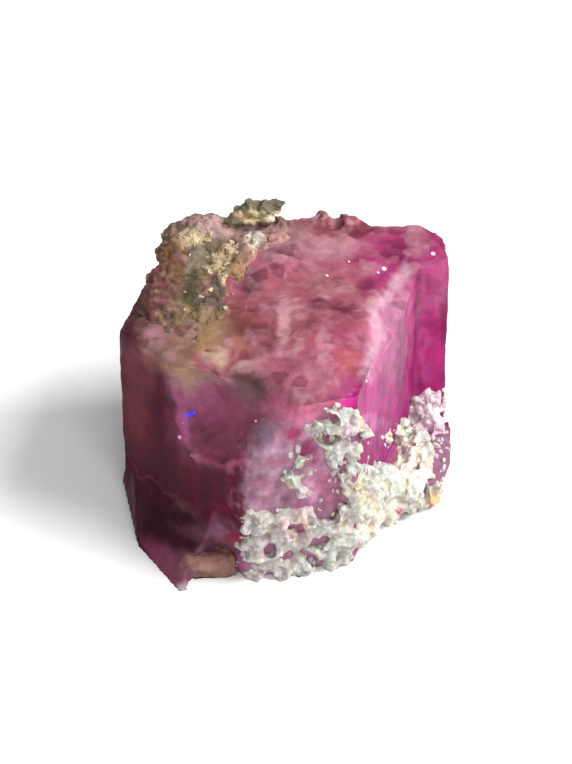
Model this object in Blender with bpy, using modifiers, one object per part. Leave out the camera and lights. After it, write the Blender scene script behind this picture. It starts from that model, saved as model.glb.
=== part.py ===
"""Red beryl: a short hexagonal prism with the host rock that still clings to it.

The crystal stands on its broken base with its c axis along +Z. The origin is on the base,
+X is to the right and -Y is towards the front, where the white crust is. The tables below
are in millimetres, and the functions turn them into metres.
"""
import math

import bmesh
import bpy
from mathutils import Euler, Matrix, Vector

MM = 0.001

# Driving dimensions
CRYSTAL_HEIGHT = 8.2
PRISM_TURN = -17.0      # azimuth of the first of the six prism faces, in degrees
PRISM_STEP = 60.0       # angle from one prism face to the next
ROOT_DEPTH = 1.0        # how far each solid reaches below the base before it is cut off
ROOT_STEP = 0.1         # each next solid is cut off this much lower, so no two cuts coincide
GAP = 0.3               # space between the crystal and each piece of matrix
PATCH_GAP = 2 * GAP     # what the side patch's radii are made longer by to clear the crust
MATRIX_FLOOR = 0.1      # the matrix ends this far above the base
BLOCK = 60.0            # edge of the block that a solid is sliced from
MATRIX_CELL = 0.3       # edge length of the matrix surface
MATRIX_BUMP = 0.34      # height of its lumps
MATRIX_GRAIN = 0.9      # width of its lumps
MATRIX_OCTAVES = 2      # sizes of lump laid over each other
LUMP_DETAIL = 3         # how often an icosphere's faces are divided for a lump or a hollow
NUB_DETAIL = 2          # and for a nub
ON_PLANE = 1e-6         # a corner this close to a cut counts as on it
WELD = 1e-4             # corners closer than this become one

# Looks: colour (linear red, green, blue) and roughness
RED_BERYL = ((0.42, 0.06, 0.16), 0.3)
WHITE_CLAY = ((0.80, 0.77, 0.72), 0.85)
SIDE_CLAY = ((0.84, 0.82, 0.80), 0.85)
OCHRE_RUBBLE = ((0.42, 0.31, 0.20), 0.9)
OLIVE_ROCK = ((0.22, 0.20, 0.15), 0.9)
TAN_CLAY = ((0.50, 0.33, 0.27), 0.9)

RIGHT, BACK_RIGHT, BACK, BACK_LEFT, LEFT, FRONT = (PRISM_TURN + PRISM_STEP * k for k in range(6))

# A sliced solid is the space inside its faces. Each face is (azimuth, elevation, distance):
# which way it looks, in degrees, and how far it lies from the solid's centre.
MAIN_PRISM = (
    (RIGHT, 0, 4.15),
    (BACK_RIGHT, 0, 6.49),
    (BACK, 0, 5.90),
    (BACK_LEFT, 0, 5.80),
    (LEFT, 0, 5.62),
    (FRONT, 0, 6.03),
    (0, 90, CRYSTAL_HEIGHT),
)
SIDE_CRYSTAL = (
    (RIGHT, 5.7, 6.17),
    (10, 0, 7.05),
    (BACK_RIGHT, 0, 8.05),
    (90, 0, 5.90),
    (180, 0, -1.5),
    (FRONT, 0, -1.75),
    (-60, 20.7, 2.84),
    (0, 90, CRYSTAL_HEIGHT - 0.08),
)
LOW_STUB = (
    (RIGHT, 0, 6.28),
    (-4, 0, 6.62),
    (90, 68, 1.20),
    (180, 0, -3.6),
    (-60, 0, 4.6),
    (BACK, 0, 2.6),
    (0, 90, 1.3),
)
FOOT = (
    (-169, 12, 6.47),
    (-148, 42, 5.50),
    (-71, 20, 5.28),
    (RIGHT, 0, -1.0),
    (BACK, 0, 1.0),
    (0, 90, 2.9),
)
GROWTH_PLATES = (
    (
        (BACK_LEFT, 0, 5.3),
        (BACK, 0, 5.65),
        (RIGHT, 0, -0.5),
        (FRONT, 0, -2.2),
        (0, 90, CRYSTAL_HEIGHT + 0.36),
    ),
    (
        (RIGHT, 0, 3.2),
        (FRONT, 0, 5.2),
        (BACK_LEFT, 0, -1.3),
        (BACK, 0, -1.1),
        (0, 90, CRYSTAL_HEIGHT + 0.22),
    ),
    (
        (BACK_RIGHT, 0, -0.6),
        (FRONT, 0, 4.1),
        (BACK_LEFT, 0, 2.6),
        (BACK, 0, 0.3),
        (0, 90, CRYSTAL_HEIGHT + 0.15),
    ),
)
ROCK_CHIP_CENTRE = (-1.05, 4.85, 9.72)
ROCK_CHIP = (
    (90, 75, 0.36),
    (180, 48, 0.66),
    (0, -40, 0.62),
    (10, 30, 0.90),
    (-90, 10, 0.38),
    (90, -10, 0.40),
    (0, -90, 0.33),
)

# An ellipsoid is (centre, radii, turn about Z in degrees).
CHIPS = (
    ((-3.87, -5.40, 6.75), (2.1, 2.1, 2.1), 0),
    ((-1.80, -6.75, 8.05), (2.2, 2.2, 2.15), 0),
    ((4.60, -0.70, 8.70), (1.45, 4.0, 1.5), -10),
)
FOOT_HOLLOW = ((-2.85, -6.85, 0.6), (1.25, 0.75, 1.0), 19)
NUBS = (
    ((1.42, 6.02, 8.28), (0.50, 0.46, 0.62), 20),
    ((2.52, 6.00, 8.20), (0.58, 0.44, 0.60), -12),
)
WHITE_LUMPS = (
    ((3.35, -4.25, 1.3), (1.15, 1.1, 2.4), 0),
    ((4.75, -2.50, 0.9), (1.25, 1.3, 1.7), 0),
    ((5.30, -0.80, 1.0), (0.95, 1.3, 1.4), 0),
    ((5.10, 0.85, 0.8), (0.85, 1.0, 1.1), 0),
)
WHITE_BASE = (
    (-49, 0, 5.45),
    (-12, 0, 6.30),
    (-4, 0, 6.20),
    (180, 0, -2.0),
    (90, 0, 0.6),
    (0, 90, 1.0),
)
SIDE_LUMPS = (
    ((6.28, 2.65, 1.2), (0.55, 0.62, 0.85), 0),
    ((6.05, 2.75, 1.7), (0.45, 0.50, 0.50), 0),
)
OCHRE_LUMPS = (
    ((-3.20, 4.45, 8.85), (1.00, 0.90, 0.80), 0),
    ((-2.30, 4.90, 8.95), (0.90, 0.70, 0.70), 0),
    ((-4.25, 2.90, 8.75), (0.75, 1.10, 0.60), 0),
    ((-2.80, 2.90, 8.90), (1.10, 0.90, 0.55), 0),
    ((-0.60, 5.00, 8.90), (0.90, 0.65, 0.55), 0),
    ((-4.42, 4.68, 8.05), (0.85, 0.85, 1.10), 0),
    ((-3.60, 5.10, 8.35), (0.90, 0.60, 0.80), 13),
    ((-4.92, 3.50, 8.35), (0.45, 0.90, 0.75), -17),
)
TAN_LUMPS = (
    ((-3.35, -7.00, 0.75), (0.90, 0.55, 0.80), 19),
    ((-2.25, -6.70, 0.55), (0.80, 0.50, 0.85), 19),
)

# Outlines are closed rings of points: on the front face they are (along, up) from the foot
# of its normal, and on top they are (x, y).
WHITE_OUTLINE = (
    (-3.10, 0.80), (-3.30, 1.75), (-2.90, 3.05), (-2.30, 3.40), (-1.65, 3.00), (-0.95, 3.25),
    (-0.05, 2.95), (0.80, 3.30), (0.45, 4.60), (0.10, 5.80), (-0.55, 7.00), (-0.25, 7.75),
    (0.60, 7.90), (1.20, 7.90), (1.55, 7.25), (1.75, 5.20), (1.75, 0.60), (-0.70, 0.90),
)
WHITE_SLAB = 0.95       # thickness, about the face it lies on
WHITE_SLAB_DISTANCE = 6.42
OCHRE_OUTLINE = (
    (-5.80, 0.00), (-5.35, 1.60), (-4.65, 3.60), (-4.10, 4.80), (-2.80, 5.20), (0.05, 5.50),
    (0.20, 4.20), (-0.90, 3.30), (-1.40, 2.00), (-2.40, 1.30), (-3.00, 0.40), (-4.40, -0.70),
    (-5.40, -0.70),
)
OCHRE_SLAB = 0.95
OCHRE_SLAB_HEIGHT = 8.77


def clear_scene():
    for obj in list(bpy.data.objects):
        bpy.data.objects.remove(obj, do_unlink=True)


def new_collection(name):
    collection = bpy.data.collections.new(name)
    bpy.context.scene.collection.children.link(collection)
    return collection


def add_object(name, bm, collection):
    """Turn a bmesh in millimetres into an object in metres."""
    bmesh.ops.recalc_face_normals(bm, faces=bm.faces)
    bmesh.ops.scale(bm, vec=(MM, MM, MM), verts=bm.verts)
    mesh = bpy.data.meshes.new(name)
    bm.to_mesh(mesh)
    bm.free()
    obj = bpy.data.objects.new(name, mesh)
    collection.objects.link(obj)
    return obj


def add_cutter(name, bm):
    """A helper solid: it shapes others and is no piece of the object."""
    obj = add_object(name, bm, helpers)
    obj.hide_render = True
    obj.display_type = "WIRE"
    return obj


def stone_material(name, look):
    colour, roughness = look
    material = bpy.data.materials.new(name)
    material.use_nodes = True
    surface = material.node_tree.nodes["Principled BSDF"]
    surface.inputs["Base Color"].default_value = (*colour, 1)
    surface.inputs["Roughness"].default_value = roughness
    surface.inputs["Metallic"].default_value = 0
    material.diffuse_color = (*colour, 1)
    return material


def slice_solid(faces, centre=(0, 0, 0), grow=0.0, root=0.0):
    """Slice a block down to the space inside its faces, each moved out by grow."""
    bm = bmesh.new()
    bmesh.ops.create_cube(bm, size=BLOCK)
    bmesh.ops.translate(bm, vec=centre, verts=bm.verts)
    floor = ((0, -90, root),) if root else ()
    for azimuth, elevation, distance in faces + floor:
        turn = Euler((0, -math.radians(elevation), math.radians(azimuth)))
        outward = Vector((1, 0, 0))
        outward.rotate(turn)
        bmesh.ops.bisect_plane(
            bm,
            geom=bm.verts[:] + bm.edges[:] + bm.faces[:],
            dist=ON_PLANE,
            plane_co=Vector(centre) + outward * (distance + grow),
            plane_no=outward,
            clear_outer=True,
        )
        rim = [edge for edge in bm.edges if edge.is_boundary]
        bmesh.ops.holes_fill(bm, edges=rim)
    return bm


def ellipsoids(table, grow=0.0, detail=LUMP_DETAIL):
    """Round lumps or hollows, each radius made longer by grow."""
    bm = bmesh.new()
    for centre, radii, turn in table:
        size = Matrix.Diagonal([radius + grow for radius in radii]).to_4x4()
        place = Matrix.Translation(centre) @ Matrix.Rotation(math.radians(turn), 4, "Z") @ size
        bmesh.ops.create_icosphere(bm, subdivisions=detail, radius=1, matrix=place)
    return bm


def slab(name, outline, thickness, place):
    """A plate from a flat outline, as a mesh: a filled curve, extruded and placed."""
    curve = bpy.data.curves.new(name, "CURVE")
    curve.dimensions = "2D"
    curve.fill_mode = "BOTH"
    curve.extrude = thickness / 2
    ring = curve.splines.new("POLY")
    ring.points.add(len(outline) - 1)
    for point, (along, up) in zip(ring.points, outline):
        point.co = (along, up, 0, 1)
    ring.use_cyclic_u = True
    outline_object = bpy.data.objects.new(name, curve)
    helpers.objects.link(outline_object)
    bpy.context.view_layer.update()
    evaluated = outline_object.evaluated_get(bpy.context.evaluated_depsgraph_get())
    mesh = bpy.data.meshes.new_from_object(evaluated)
    bpy.data.objects.remove(outline_object)
    bm = bmesh.new()
    bm.from_mesh(mesh)
    bpy.data.meshes.remove(mesh)
    bmesh.ops.remove_doubles(bm, verts=bm.verts, dist=WELD)
    bmesh.ops.transform(bm, matrix=place, verts=bm.verts)
    return bm


def merge(*meshes):
    """Put several bmeshes in the first one."""
    first = meshes[0]
    for other in meshes[1:]:
        mesh = bpy.data.meshes.new("part")
        other.to_mesh(mesh)
        other.free()
        first.from_mesh(mesh)
        bpy.data.meshes.remove(mesh)
    return first


def boolean(target, other, operation, solver="EXACT"):
    modifier = target.modifiers.new(other.name, "BOOLEAN")
    modifier.operation = operation
    modifier.object = other
    modifier.solver = solver


def crystal_shape(name, grow, add):
    """The whole crystal: solids grown together, then the chips broken out of them.

    grow moves every face outwards, which makes the clearance that the matrix is cut with.
    """
    body = add(name, slice_solid(MAIN_PRISM, grow=grow, root=ROOT_DEPTH))
    grown_together = [("side_crystal", SIDE_CRYSTAL), ("low_stub", LOW_STUB), ("foot", FOOT)]
    for k, (label, faces) in enumerate(grown_together, start=1):
        solid = slice_solid(faces, grow=grow, root=ROOT_DEPTH + ROOT_STEP * k)
        boolean(body, add_cutter(f"{name}_{label}", solid), "UNION")
    for k, faces in enumerate(GROWTH_PLATES, start=1):
        underside = (0, -90, -CRYSTAL_HEIGHT / 2 - ROOT_STEP * k)
        solid = slice_solid(faces + (underside,), grow=grow)
        boolean(body, add_cutter(f"{name}_growth_plate_{k}", solid), "UNION")
    for k, nub in enumerate(NUBS, start=1):
        solid = ellipsoids([nub], grow=grow, detail=NUB_DETAIL)
        boolean(body, add_cutter(f"{name}_nub_{k}", solid), "UNION")
    for k, chip in enumerate(CHIPS + (FOOT_HOLLOW,), start=1):
        solid = ellipsoids([chip], grow=-grow)
        boolean(body, add_cutter(f"{name}_chip_{k}", solid), "DIFFERENCE")
    return body


def roughen(obj):
    """Give a matrix piece an even mesh and a lumpy surface."""
    remesh = obj.modifiers.new("even_cells", "REMESH")
    remesh.mode = "VOXEL"
    remesh.voxel_size = MATRIX_CELL * MM
    lumps = bpy.data.textures.new(f"{obj.name}_lumps", "CLOUDS")
    lumps.noise_scale = MATRIX_GRAIN * MM
    lumps.noise_depth = MATRIX_OCTAVES
    displace = obj.modifiers.new("lumps", "DISPLACE")
    displace.texture = lumps
    displace.texture_coords = "LOCAL"
    displace.strength = MATRIX_BUMP * MM


def matrix_piece(name, bm, material, cutters):
    """A rough piece of matrix. EXACT loses some of these lumpy meshes whole, so MANIFOLD cuts."""
    obj = add_object(name, bm, pieces)
    obj.data.materials.append(material)
    roughen(obj)
    for cutter in cutters:
        boolean(obj, cutter, "DIFFERENCE", solver="MANIFOLD")
    return obj


def front_face_place(distance):
    """Outline axes on the front prism face: x along it to the right, y up, z outwards."""
    outward = Vector((math.cos(math.radians(FRONT)), math.sin(math.radians(FRONT)), 0))
    along = Vector((0, 0, 1)).cross(outward)
    axes = Matrix((along, Vector((0, 0, 1)), outward)).transposed()
    return Matrix.Translation(outward * distance) @ axes.to_4x4()


def floor_cutter(name, top):
    bm = bmesh.new()
    place = Matrix.Translation((0, 0, top - BLOCK / 2))
    bmesh.ops.create_cube(bm, size=BLOCK, matrix=place)
    return add_cutter(name, bm)


def beryl_crystal():
    crystal = crystal_shape("beryl_crystal", 0, lambda name, bm: add_object(name, bm, pieces))
    crystal.data.materials.append(stone_material("red_beryl", RED_BERYL))
    boolean(crystal, floor_cutter("broken_base", 0), "DIFFERENCE")
    return crystal


def white_matrix_crust(clearance, floor):
    front = slab("white_slab", WHITE_OUTLINE, WHITE_SLAB, front_face_place(WHITE_SLAB_DISTANCE))
    base = slice_solid(WHITE_BASE, root=ROOT_DEPTH)
    lumps = ellipsoids(WHITE_LUMPS)
    side_patch = add_cutter("side_patch_clearance", ellipsoids(SIDE_LUMPS, grow=PATCH_GAP))
    white = stone_material("white_clay", WHITE_CLAY)
    matrix_piece(
        "white_matrix_crust",
        merge(front, base, lumps),
        white,
        (clearance, side_patch, floor),
    )


def side_clay_patch(clearance, floor):
    white = stone_material("side_clay", SIDE_CLAY)
    matrix_piece("side_clay_patch", ellipsoids(SIDE_LUMPS), white, (clearance, floor))


def ochre_matrix_crust(clearance):
    place = Matrix.Translation((0, 0, OCHRE_SLAB_HEIGHT))
    top = slab("ochre_slab", OCHRE_OUTLINE, OCHRE_SLAB, place)
    chip = slice_solid(ROCK_CHIP, centre=ROCK_CHIP_CENTRE, grow=GAP)
    chip_clearance = add_cutter("rock_chip_clearance", chip)
    ochre = stone_material("ochre_rubble", OCHRE_RUBBLE)
    rubble = merge(top, ellipsoids(OCHRE_LUMPS))
    matrix_piece("ochre_matrix_crust", rubble, ochre, (clearance, chip_clearance))


def top_rock_chip():
    chip = add_object("top_rock_chip", slice_solid(ROCK_CHIP, centre=ROCK_CHIP_CENTRE), pieces)
    chip.data.materials.append(stone_material("olive_rock", OLIVE_ROCK))


def tan_clay_patch(clearance, floor):
    tan = stone_material("tan_clay", TAN_CLAY)
    matrix_piece("tan_clay_patch", ellipsoids(TAN_LUMPS), tan, (clearance, floor))


clear_scene()
pieces = new_collection("red_beryl")
helpers = new_collection("cutters")

beryl_crystal()
crystal_clearance = crystal_shape("crystal_clearance", GAP, add_cutter)
matrix_floor = floor_cutter("matrix_floor", MATRIX_FLOOR)
white_matrix_crust(crystal_clearance, matrix_floor)
side_clay_patch(crystal_clearance, matrix_floor)
ochre_matrix_crust(crystal_clearance)
top_rock_chip()
tan_clay_patch(crystal_clearance, matrix_floor)
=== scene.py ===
# %% [markdown]
# # A small red beryl with its host rock
#
# Red beryl grows as short six-sided prisms in gas pockets of rhyolite. This one stands on its
# broken base. Its left face is dark and clear, its top is a dusty rose growth face, its right
# side glows magenta, and clay and rock still cling to two of its corners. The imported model
# gives every piece its place and size. This lesson grows the fine surfaces on it: striations,
# growth steps and chips on the crystal, crusts and grains on the matrix, and their finishes.

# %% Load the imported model
import math

import bmesh
import bpy
import numpy as np
from mathutils import Matrix, Vector, noise
from mathutils.bvhtree import BVHTree


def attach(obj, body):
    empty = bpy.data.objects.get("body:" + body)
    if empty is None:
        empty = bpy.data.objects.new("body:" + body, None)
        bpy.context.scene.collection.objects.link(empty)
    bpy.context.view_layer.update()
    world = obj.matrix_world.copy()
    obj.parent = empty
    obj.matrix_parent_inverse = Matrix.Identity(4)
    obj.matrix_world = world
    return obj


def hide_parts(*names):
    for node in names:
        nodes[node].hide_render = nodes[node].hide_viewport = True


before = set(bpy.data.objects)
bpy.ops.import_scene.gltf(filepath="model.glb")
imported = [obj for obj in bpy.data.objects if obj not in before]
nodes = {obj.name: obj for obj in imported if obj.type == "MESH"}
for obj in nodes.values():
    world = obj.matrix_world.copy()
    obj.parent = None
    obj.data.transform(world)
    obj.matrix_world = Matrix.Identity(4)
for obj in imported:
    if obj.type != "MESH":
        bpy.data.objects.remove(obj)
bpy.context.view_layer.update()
print("packed nodes:", sorted(nodes))

# %% [markdown]
# ## The camera first
#
# The photograph looks down on the crystal at about 37 degrees, from far enough away that the
# prism edges hardly converge. The same numbers are used later to find which point of the
# crystal lies under a point of the photograph, so a stain or a crust can be placed where it
# was seen. Work on the bench is in millimetres, and pieces shrink to metres at the end.

# %% Camera
MM = 0.001
PHOTO_WIDTH = 572
PHOTO_HEIGHT = 764
MM_PER_PIXEL = 0.04
AIM = np.array([0.0, 0.8, 4.0])
ELEVATION = math.radians(37)
DISTANCE = 110.0
SENSOR = 36.0
NEAREST_METRES = 0.001
FARTHEST_METRES = 10

look = np.array([0.0, math.cos(ELEVATION), -math.sin(ELEVATION)])
right = np.array([1.0, 0.0, 0.0])
up = np.cross(right, look)
eye = AIM - look * DISTANCE
FOCAL_PIXELS = DISTANCE / MM_PER_PIXEL

camera_data = bpy.data.cameras.new("photo_camera")
camera_data.sensor_width = SENSOR
camera_data.lens = SENSOR * FOCAL_PIXELS / PHOTO_HEIGHT
camera_data.clip_start = NEAREST_METRES
camera_data.clip_end = FARTHEST_METRES
camera = bpy.data.objects.new("photo_camera", camera_data)
camera.location = Vector(eye) * MM
camera.rotation_euler = Vector(look).to_track_quat("-Z", "Y").to_euler()
bpy.context.scene.collection.objects.link(camera)
bpy.context.scene.camera = camera
print("lens", round(camera_data.lens, 1), "mm")


def photo_place(points):
    """Where points in millimetres fall in the photograph, in its pixels."""
    offset = np.asarray(points) - eye
    depth = offset @ look
    across = PHOTO_WIDTH / 2 + FOCAL_PIXELS * (offset @ right) / depth
    down = PHOTO_HEIGHT / 2 - FOCAL_PIXELS * (offset @ up) / depth
    return across, down


def photo_ray(across, down):
    """The direction from the eye through a pixel of the photograph."""
    ray = (
        look * FOCAL_PIXELS
        + right * (across - PHOTO_WIDTH / 2)
        - up * (down - PHOTO_HEIGHT / 2)
    )
    return ray / np.linalg.norm(ray)


# %% [markdown]
# ## Floor and light
#
# The photograph is a cut-out on white, lit softly from the upper right. A wide pale floor and
# a pale sky give the white ground, one large lamp gives the direction, and a smaller one in
# front keeps the shaded face from going black.

# %% Floor and sky
FLOOR_SIZE = 0.6
FLOOR_COLOUR = (0.86, 0.86, 0.86, 1)
FLOOR_ROUGHNESS = 0.9
SKY_COLOUR = (1, 1, 1, 1)
SKY_STRENGTH = 0.45


def plain_material(name, colour, roughness):
    material = bpy.data.materials.new(name)
    material.use_nodes = True
    surface = material.node_tree.nodes["Principled BSDF"]
    surface.inputs["Base Color"].default_value = colour
    surface.inputs["Roughness"].default_value = roughness
    return material


floor_mesh = bmesh.new()
bmesh.ops.create_grid(floor_mesh, x_segments=1, y_segments=1, size=FLOOR_SIZE / 2)
floor_data = bpy.data.meshes.new("studio_floor")
floor_mesh.to_mesh(floor_data)
floor_mesh.free()
floor = bpy.data.objects.new("studio_floor", floor_data)
floor_data.materials.append(plain_material("floor_paper", FLOOR_COLOUR, FLOOR_ROUGHNESS))
bpy.context.scene.collection.objects.link(floor)

sky = bpy.data.worlds.new("studio_sky")
sky.use_nodes = True
background = sky.node_tree.nodes["Background"]
background.inputs["Color"].default_value = SKY_COLOUR
background.inputs["Strength"].default_value = SKY_STRENGTH
bpy.context.scene.world = sky
bpy.context.scene.view_settings.view_transform = "Standard"
print("floor", FLOOR_SIZE, "m wide under a sky of strength", SKY_STRENGTH)

# %% [markdown]
# The lamps are squares about as wide as the shadows are soft. They stand close to the
# crystal, because it is only as big as a fingernail, so a fraction of a watt is enough.

# %% Lamps


def add_lamp(name, azimuth, elevation, distance, size, power):
    """A square lamp that shines at the crystal. Azimuth is measured from +X."""
    turn = math.radians(azimuth)
    lift = math.radians(elevation)
    flat = math.cos(lift)
    away = Vector((math.cos(turn) * flat, math.sin(turn) * flat, math.sin(lift)))
    lamp_data = bpy.data.lights.new(name, "AREA")
    lamp_data.size = size
    lamp_data.energy = power
    lamp = bpy.data.objects.new(name, lamp_data)
    lamp.location = Vector(AIM) * MM + away * distance
    lamp.rotation_euler = (-away).to_track_quat("-Z", "Y").to_euler()
    bpy.context.scene.collection.objects.link(lamp)
    print(name, "at", [round(value, 2) for value in lamp.location], "m")


add_lamp("key_lamp", azimuth=-5, elevation=48, distance=0.25, size=0.12, power=0.95)
add_lamp("front_lamp", azimuth=-75, elevation=35, distance=0.30, size=0.15, power=0.35)

# %% [markdown]
# ## Noise for natural surfaces
#
# A natural surface needs unevenness that has a size in millimetres. These helpers sample
# smooth noise at many points at once, so each later step can say what it wants in one line.

# %% Noise helpers


def ramp(value, low, high):
    """0 below low, 1 above high, and a smooth rise between them."""
    share = np.clip((value - low) / (high - low), 0, 1)
    return share * share * (3 - 2 * share)


def seeded(seed):
    """Moves the noise to a fresh place, so that two uses with different seeds differ."""
    return Vector((13.7 * seed + 3.1, 7.3 * seed + 1.7, 5.9 * seed + 9.2))


def smooth_noise(points, size, seed=0):
    """Noise from -1 to 1 whose lumps are about size millimetres wide."""
    shift = seeded(seed)
    return np.array([noise.noise(Vector(p) + shift) for p in points / size])


def layered_noise(points, size, seed=0, layers=4):
    """Smooth noise with finer and finer layers on it."""
    shift = seeded(seed)
    return np.array([noise.fractal(Vector(p) + shift, 1.0, 2.1, layers) for p in points / size])


def pebble_noise(points, size, seed=0):
    """Round pebbles of that size, 1 at the crown of each, falling to 0 between them."""
    shift = seeded(seed)
    nearest = [noise.voronoi(Vector(p) + shift)[0][0] for p in points / size]
    return 1 - np.clip(np.array(nearest), 0, 1) ** 2


def block_noise(points, size, seed=0):
    """Angular blocks about size millimetres wide. Gives each point the value of its block,
    from -1 to 1, and how far inside the block it is, 0 at the border and 1 well inside."""
    shift = seeded(seed)
    values = np.empty(len(points))
    depths = np.empty(len(points))
    for index, place in enumerate(points / size):
        distances, seeds = noise.voronoi(Vector(place) + shift)
        values[index] = noise.noise(seeds[0] * 3.7)
        depths[index] = distances[1] - distances[0]
    return np.clip(1.6 * values, -1, 1), ramp(depths, 0.0, 0.25)


print("a quarter of the way up a ramp:", ramp(0.25, 0, 1))

# %% [markdown]
# ## The bench
#
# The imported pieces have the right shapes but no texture. A voxel remesh turns each into an
# even net of small cells, fine enough to push in and out. Smoothing takes away the steps that
# voxels leave and rounds the edges a little, as they are on a worn crystal. Shaping then
# happens on plain arrays of points and normals.

# %% Mesh helpers
SAME_POINT = 1e-7


def bench_copy(piece):
    """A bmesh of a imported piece, in millimetres, with its doubled points joined."""
    bm = bmesh.new()
    bm.from_mesh(piece.data)
    bmesh.ops.remove_doubles(bm, verts=bm.verts, dist=SAME_POINT)
    bmesh.ops.scale(bm, vec=(1 / MM, 1 / MM, 1 / MM), verts=bm.verts)
    return bm


def remeshed(bm, cell):
    """An even skin over a bmesh, made of cells that wide. The bmesh is freed."""
    rough = bpy.data.meshes.new("rough")
    bm.to_mesh(rough)
    bm.free()
    bench = bpy.data.objects.new("bench", rough)
    bpy.context.scene.collection.objects.link(bench)
    modifier = bench.modifiers.new("even_cells", "REMESH")
    modifier.mode = "VOXEL"
    modifier.voxel_size = cell
    bpy.context.view_layer.update()
    shaped = bench.evaluated_get(bpy.context.evaluated_depsgraph_get())
    mesh = bpy.data.meshes.new_from_object(shaped)
    bpy.data.objects.remove(bench)
    bpy.data.meshes.remove(rough)
    return mesh


def read_points(mesh):
    points = np.empty(len(mesh.vertices) * 3, np.float32)
    mesh.vertices.foreach_get("co", points)
    return points.reshape(-1, 3).astype(float)


def read_normals(mesh):
    normals = np.empty(len(mesh.vertices) * 3, np.float32)
    mesh.vertex_normals.foreach_get("vector", normals)
    return normals.reshape(-1, 3).astype(float)


def write_points(mesh, points):
    mesh.vertices.foreach_set("co", points.astype(np.float32).ravel())
    mesh.update()


def evened(mesh, values, rounds):
    """Pulls each point's value, or place, halfway to the mean of its neighbours."""
    edges = np.empty(len(mesh.edges) * 2, np.int32)
    mesh.edges.foreach_get("vertices", edges)
    first, second = edges.reshape(-1, 2).T
    points = len(mesh.vertices)
    count = np.bincount(np.r_[first, second], minlength=points)
    columns = values.reshape(points, -1).T.copy()
    for _ in range(rounds):
        for column in columns:
            total = np.bincount(first, column[second], points)
            total += np.bincount(second, column[first], points)
            column += (total / count - column) / 2
    return columns.T.reshape(values.shape)


for name, packed in sorted(nodes.items()):
    print(name, len(packed.data.polygons), "packed faces")

# %% [markdown]
# ## Finding a place on the crystal
#
# A place is named in one of two ways: by its pixel on the photograph where the camera sees
# it, and by its millimetres in the model where it doesn't. Each helper gives every point of
# a mesh a number from 0 to 1. The pixels wander a little by noise, so an oval or a line
# comes out with a natural border and doesn't look stamped.

# %% Places on the photograph and in the model


def survey(mesh):
    """What later steps need to know of each point: its place, its normal, its pixel in the
    photograph with a little natural wandering, and how much it faces the camera."""
    points = read_points(mesh)
    normals = evened(mesh, read_normals(mesh), 4)
    normals /= np.linalg.norm(normals, axis=1)[:, None]
    across, down = photo_place(points)
    return {
        "points": points,
        "normals": normals,
        "across": across + 5 * smooth_noise(points, 0.7, 1) + 3 * smooth_noise(points, 0.3, 2),
        "down": down + 5 * smooth_noise(points, 0.7, 3) + 3 * smooth_noise(points, 0.3, 4),
        "facing": ramp(-(normals @ look), -0.05, 0.2),
    }


def spot(skin, across, down, wide, tall, turn=0, soft=0.5):
    """1 inside an oval on the photograph and 0 outside it. Turn is clockwise in degrees."""
    angle = math.radians(turn)
    over = skin["across"] - across
    under = skin["down"] - down
    along = (over * math.cos(angle) + under * math.sin(angle)) / wide
    aside = (under * math.cos(angle) - over * math.sin(angle)) / tall
    return (1 - ramp(np.hypot(along, aside), 1 - soft, 1 + soft)) * skin["facing"]


def around(skin, middle, reach):
    """1 near a place of the model and 0 outside an oval round it, all in millimetres."""
    away = np.linalg.norm((skin["points"] - middle) / np.array(reach), axis=1)
    return 1 - ramp(away, 0.5, 1.5)


def near_line(skin, corners, width):
    """1 on a line drawn through corners on the photograph, falling to 0 at width beside it."""
    here = np.stack([skin["across"], skin["down"]], axis=1)
    best = np.full(len(here), 1e9)
    for start, end in zip(corners, corners[1:]):
        start = np.array(start, float)
        span = np.array(end, float) - start
        share = np.clip((here - start) @ span / (span @ span), 0, 1)
        best = np.minimum(best, np.linalg.norm(here - start - share[:, None] * span, axis=1))
    return (1 - ramp(best, 0, width)) * skin["facing"]


print("the camera's aim falls on pixel", [round(float(value)) for value in photo_place(AIM)])

# %% [markdown]
# ## Colours on points
#
# A colour is read off a picture as 0 to 255, and mixed as light. It could be kept in an
# image, but an image stretches over lumps, while a value on a point goes where the point
# goes. The net is fine enough for that.

# %% Colour helpers


def shade(red, green, blue):
    """A colour as a picture gives it, 0 to 255, turned into the light values Blender wants."""
    picture = np.array([red, green, blue]) / 255
    return np.where(picture > 0.04045, ((picture + 0.055) / 1.055) ** 2.4, picture / 12.92)


def painted(colours, amount, tint):
    """Colours moved towards a tint by an amount of 0 to 1 at each point."""
    return colours + np.clip(amount, 0, 1)[:, None] * (tint - colours)


def store_colour(mesh, name, colours):
    """Colours go on the points as plain vectors, a kind of layer that every renderer reads."""
    layer = mesh.attributes.new(name, "FLOAT_VECTOR", "POINT")
    layer.data.foreach_set("vector", colours.astype(np.float32).ravel())


def store_value(mesh, name, values):
    layer = mesh.attributes.new(name, "FLOAT", "POINT")
    layer.data.foreach_set("value", values.astype(np.float32))


print("middle grey of a picture is", round(float(shade(128, 128, 128)[0]), 3), "as light")

# %% [markdown]
# ## Handing a piece over
#
# Every finished mesh leaves the bench in the same way. It shrinks to metres, takes its
# material, rides on the one body of the part, and hides the imported piece it stands for.

# %% A finished piece


def make_piece(name, mesh, material, replaced=None):
    """Shrinks a finished mesh to metres and hands it over as a piece of the specimen."""
    write_points(mesh, read_points(mesh) * MM)
    mesh.name = name
    mesh.materials.clear()
    mesh.materials.append(material)
    mesh.shade_smooth()
    piece = bpy.data.objects.new(name, mesh)
    bpy.context.scene.collection.objects.link(piece)
    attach(piece, "root")
    if replaced:
        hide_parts(replaced)
    mesh.calc_loop_triangles()
    print(name, len(mesh.loop_triangles), "triangles")
    return piece


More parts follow.
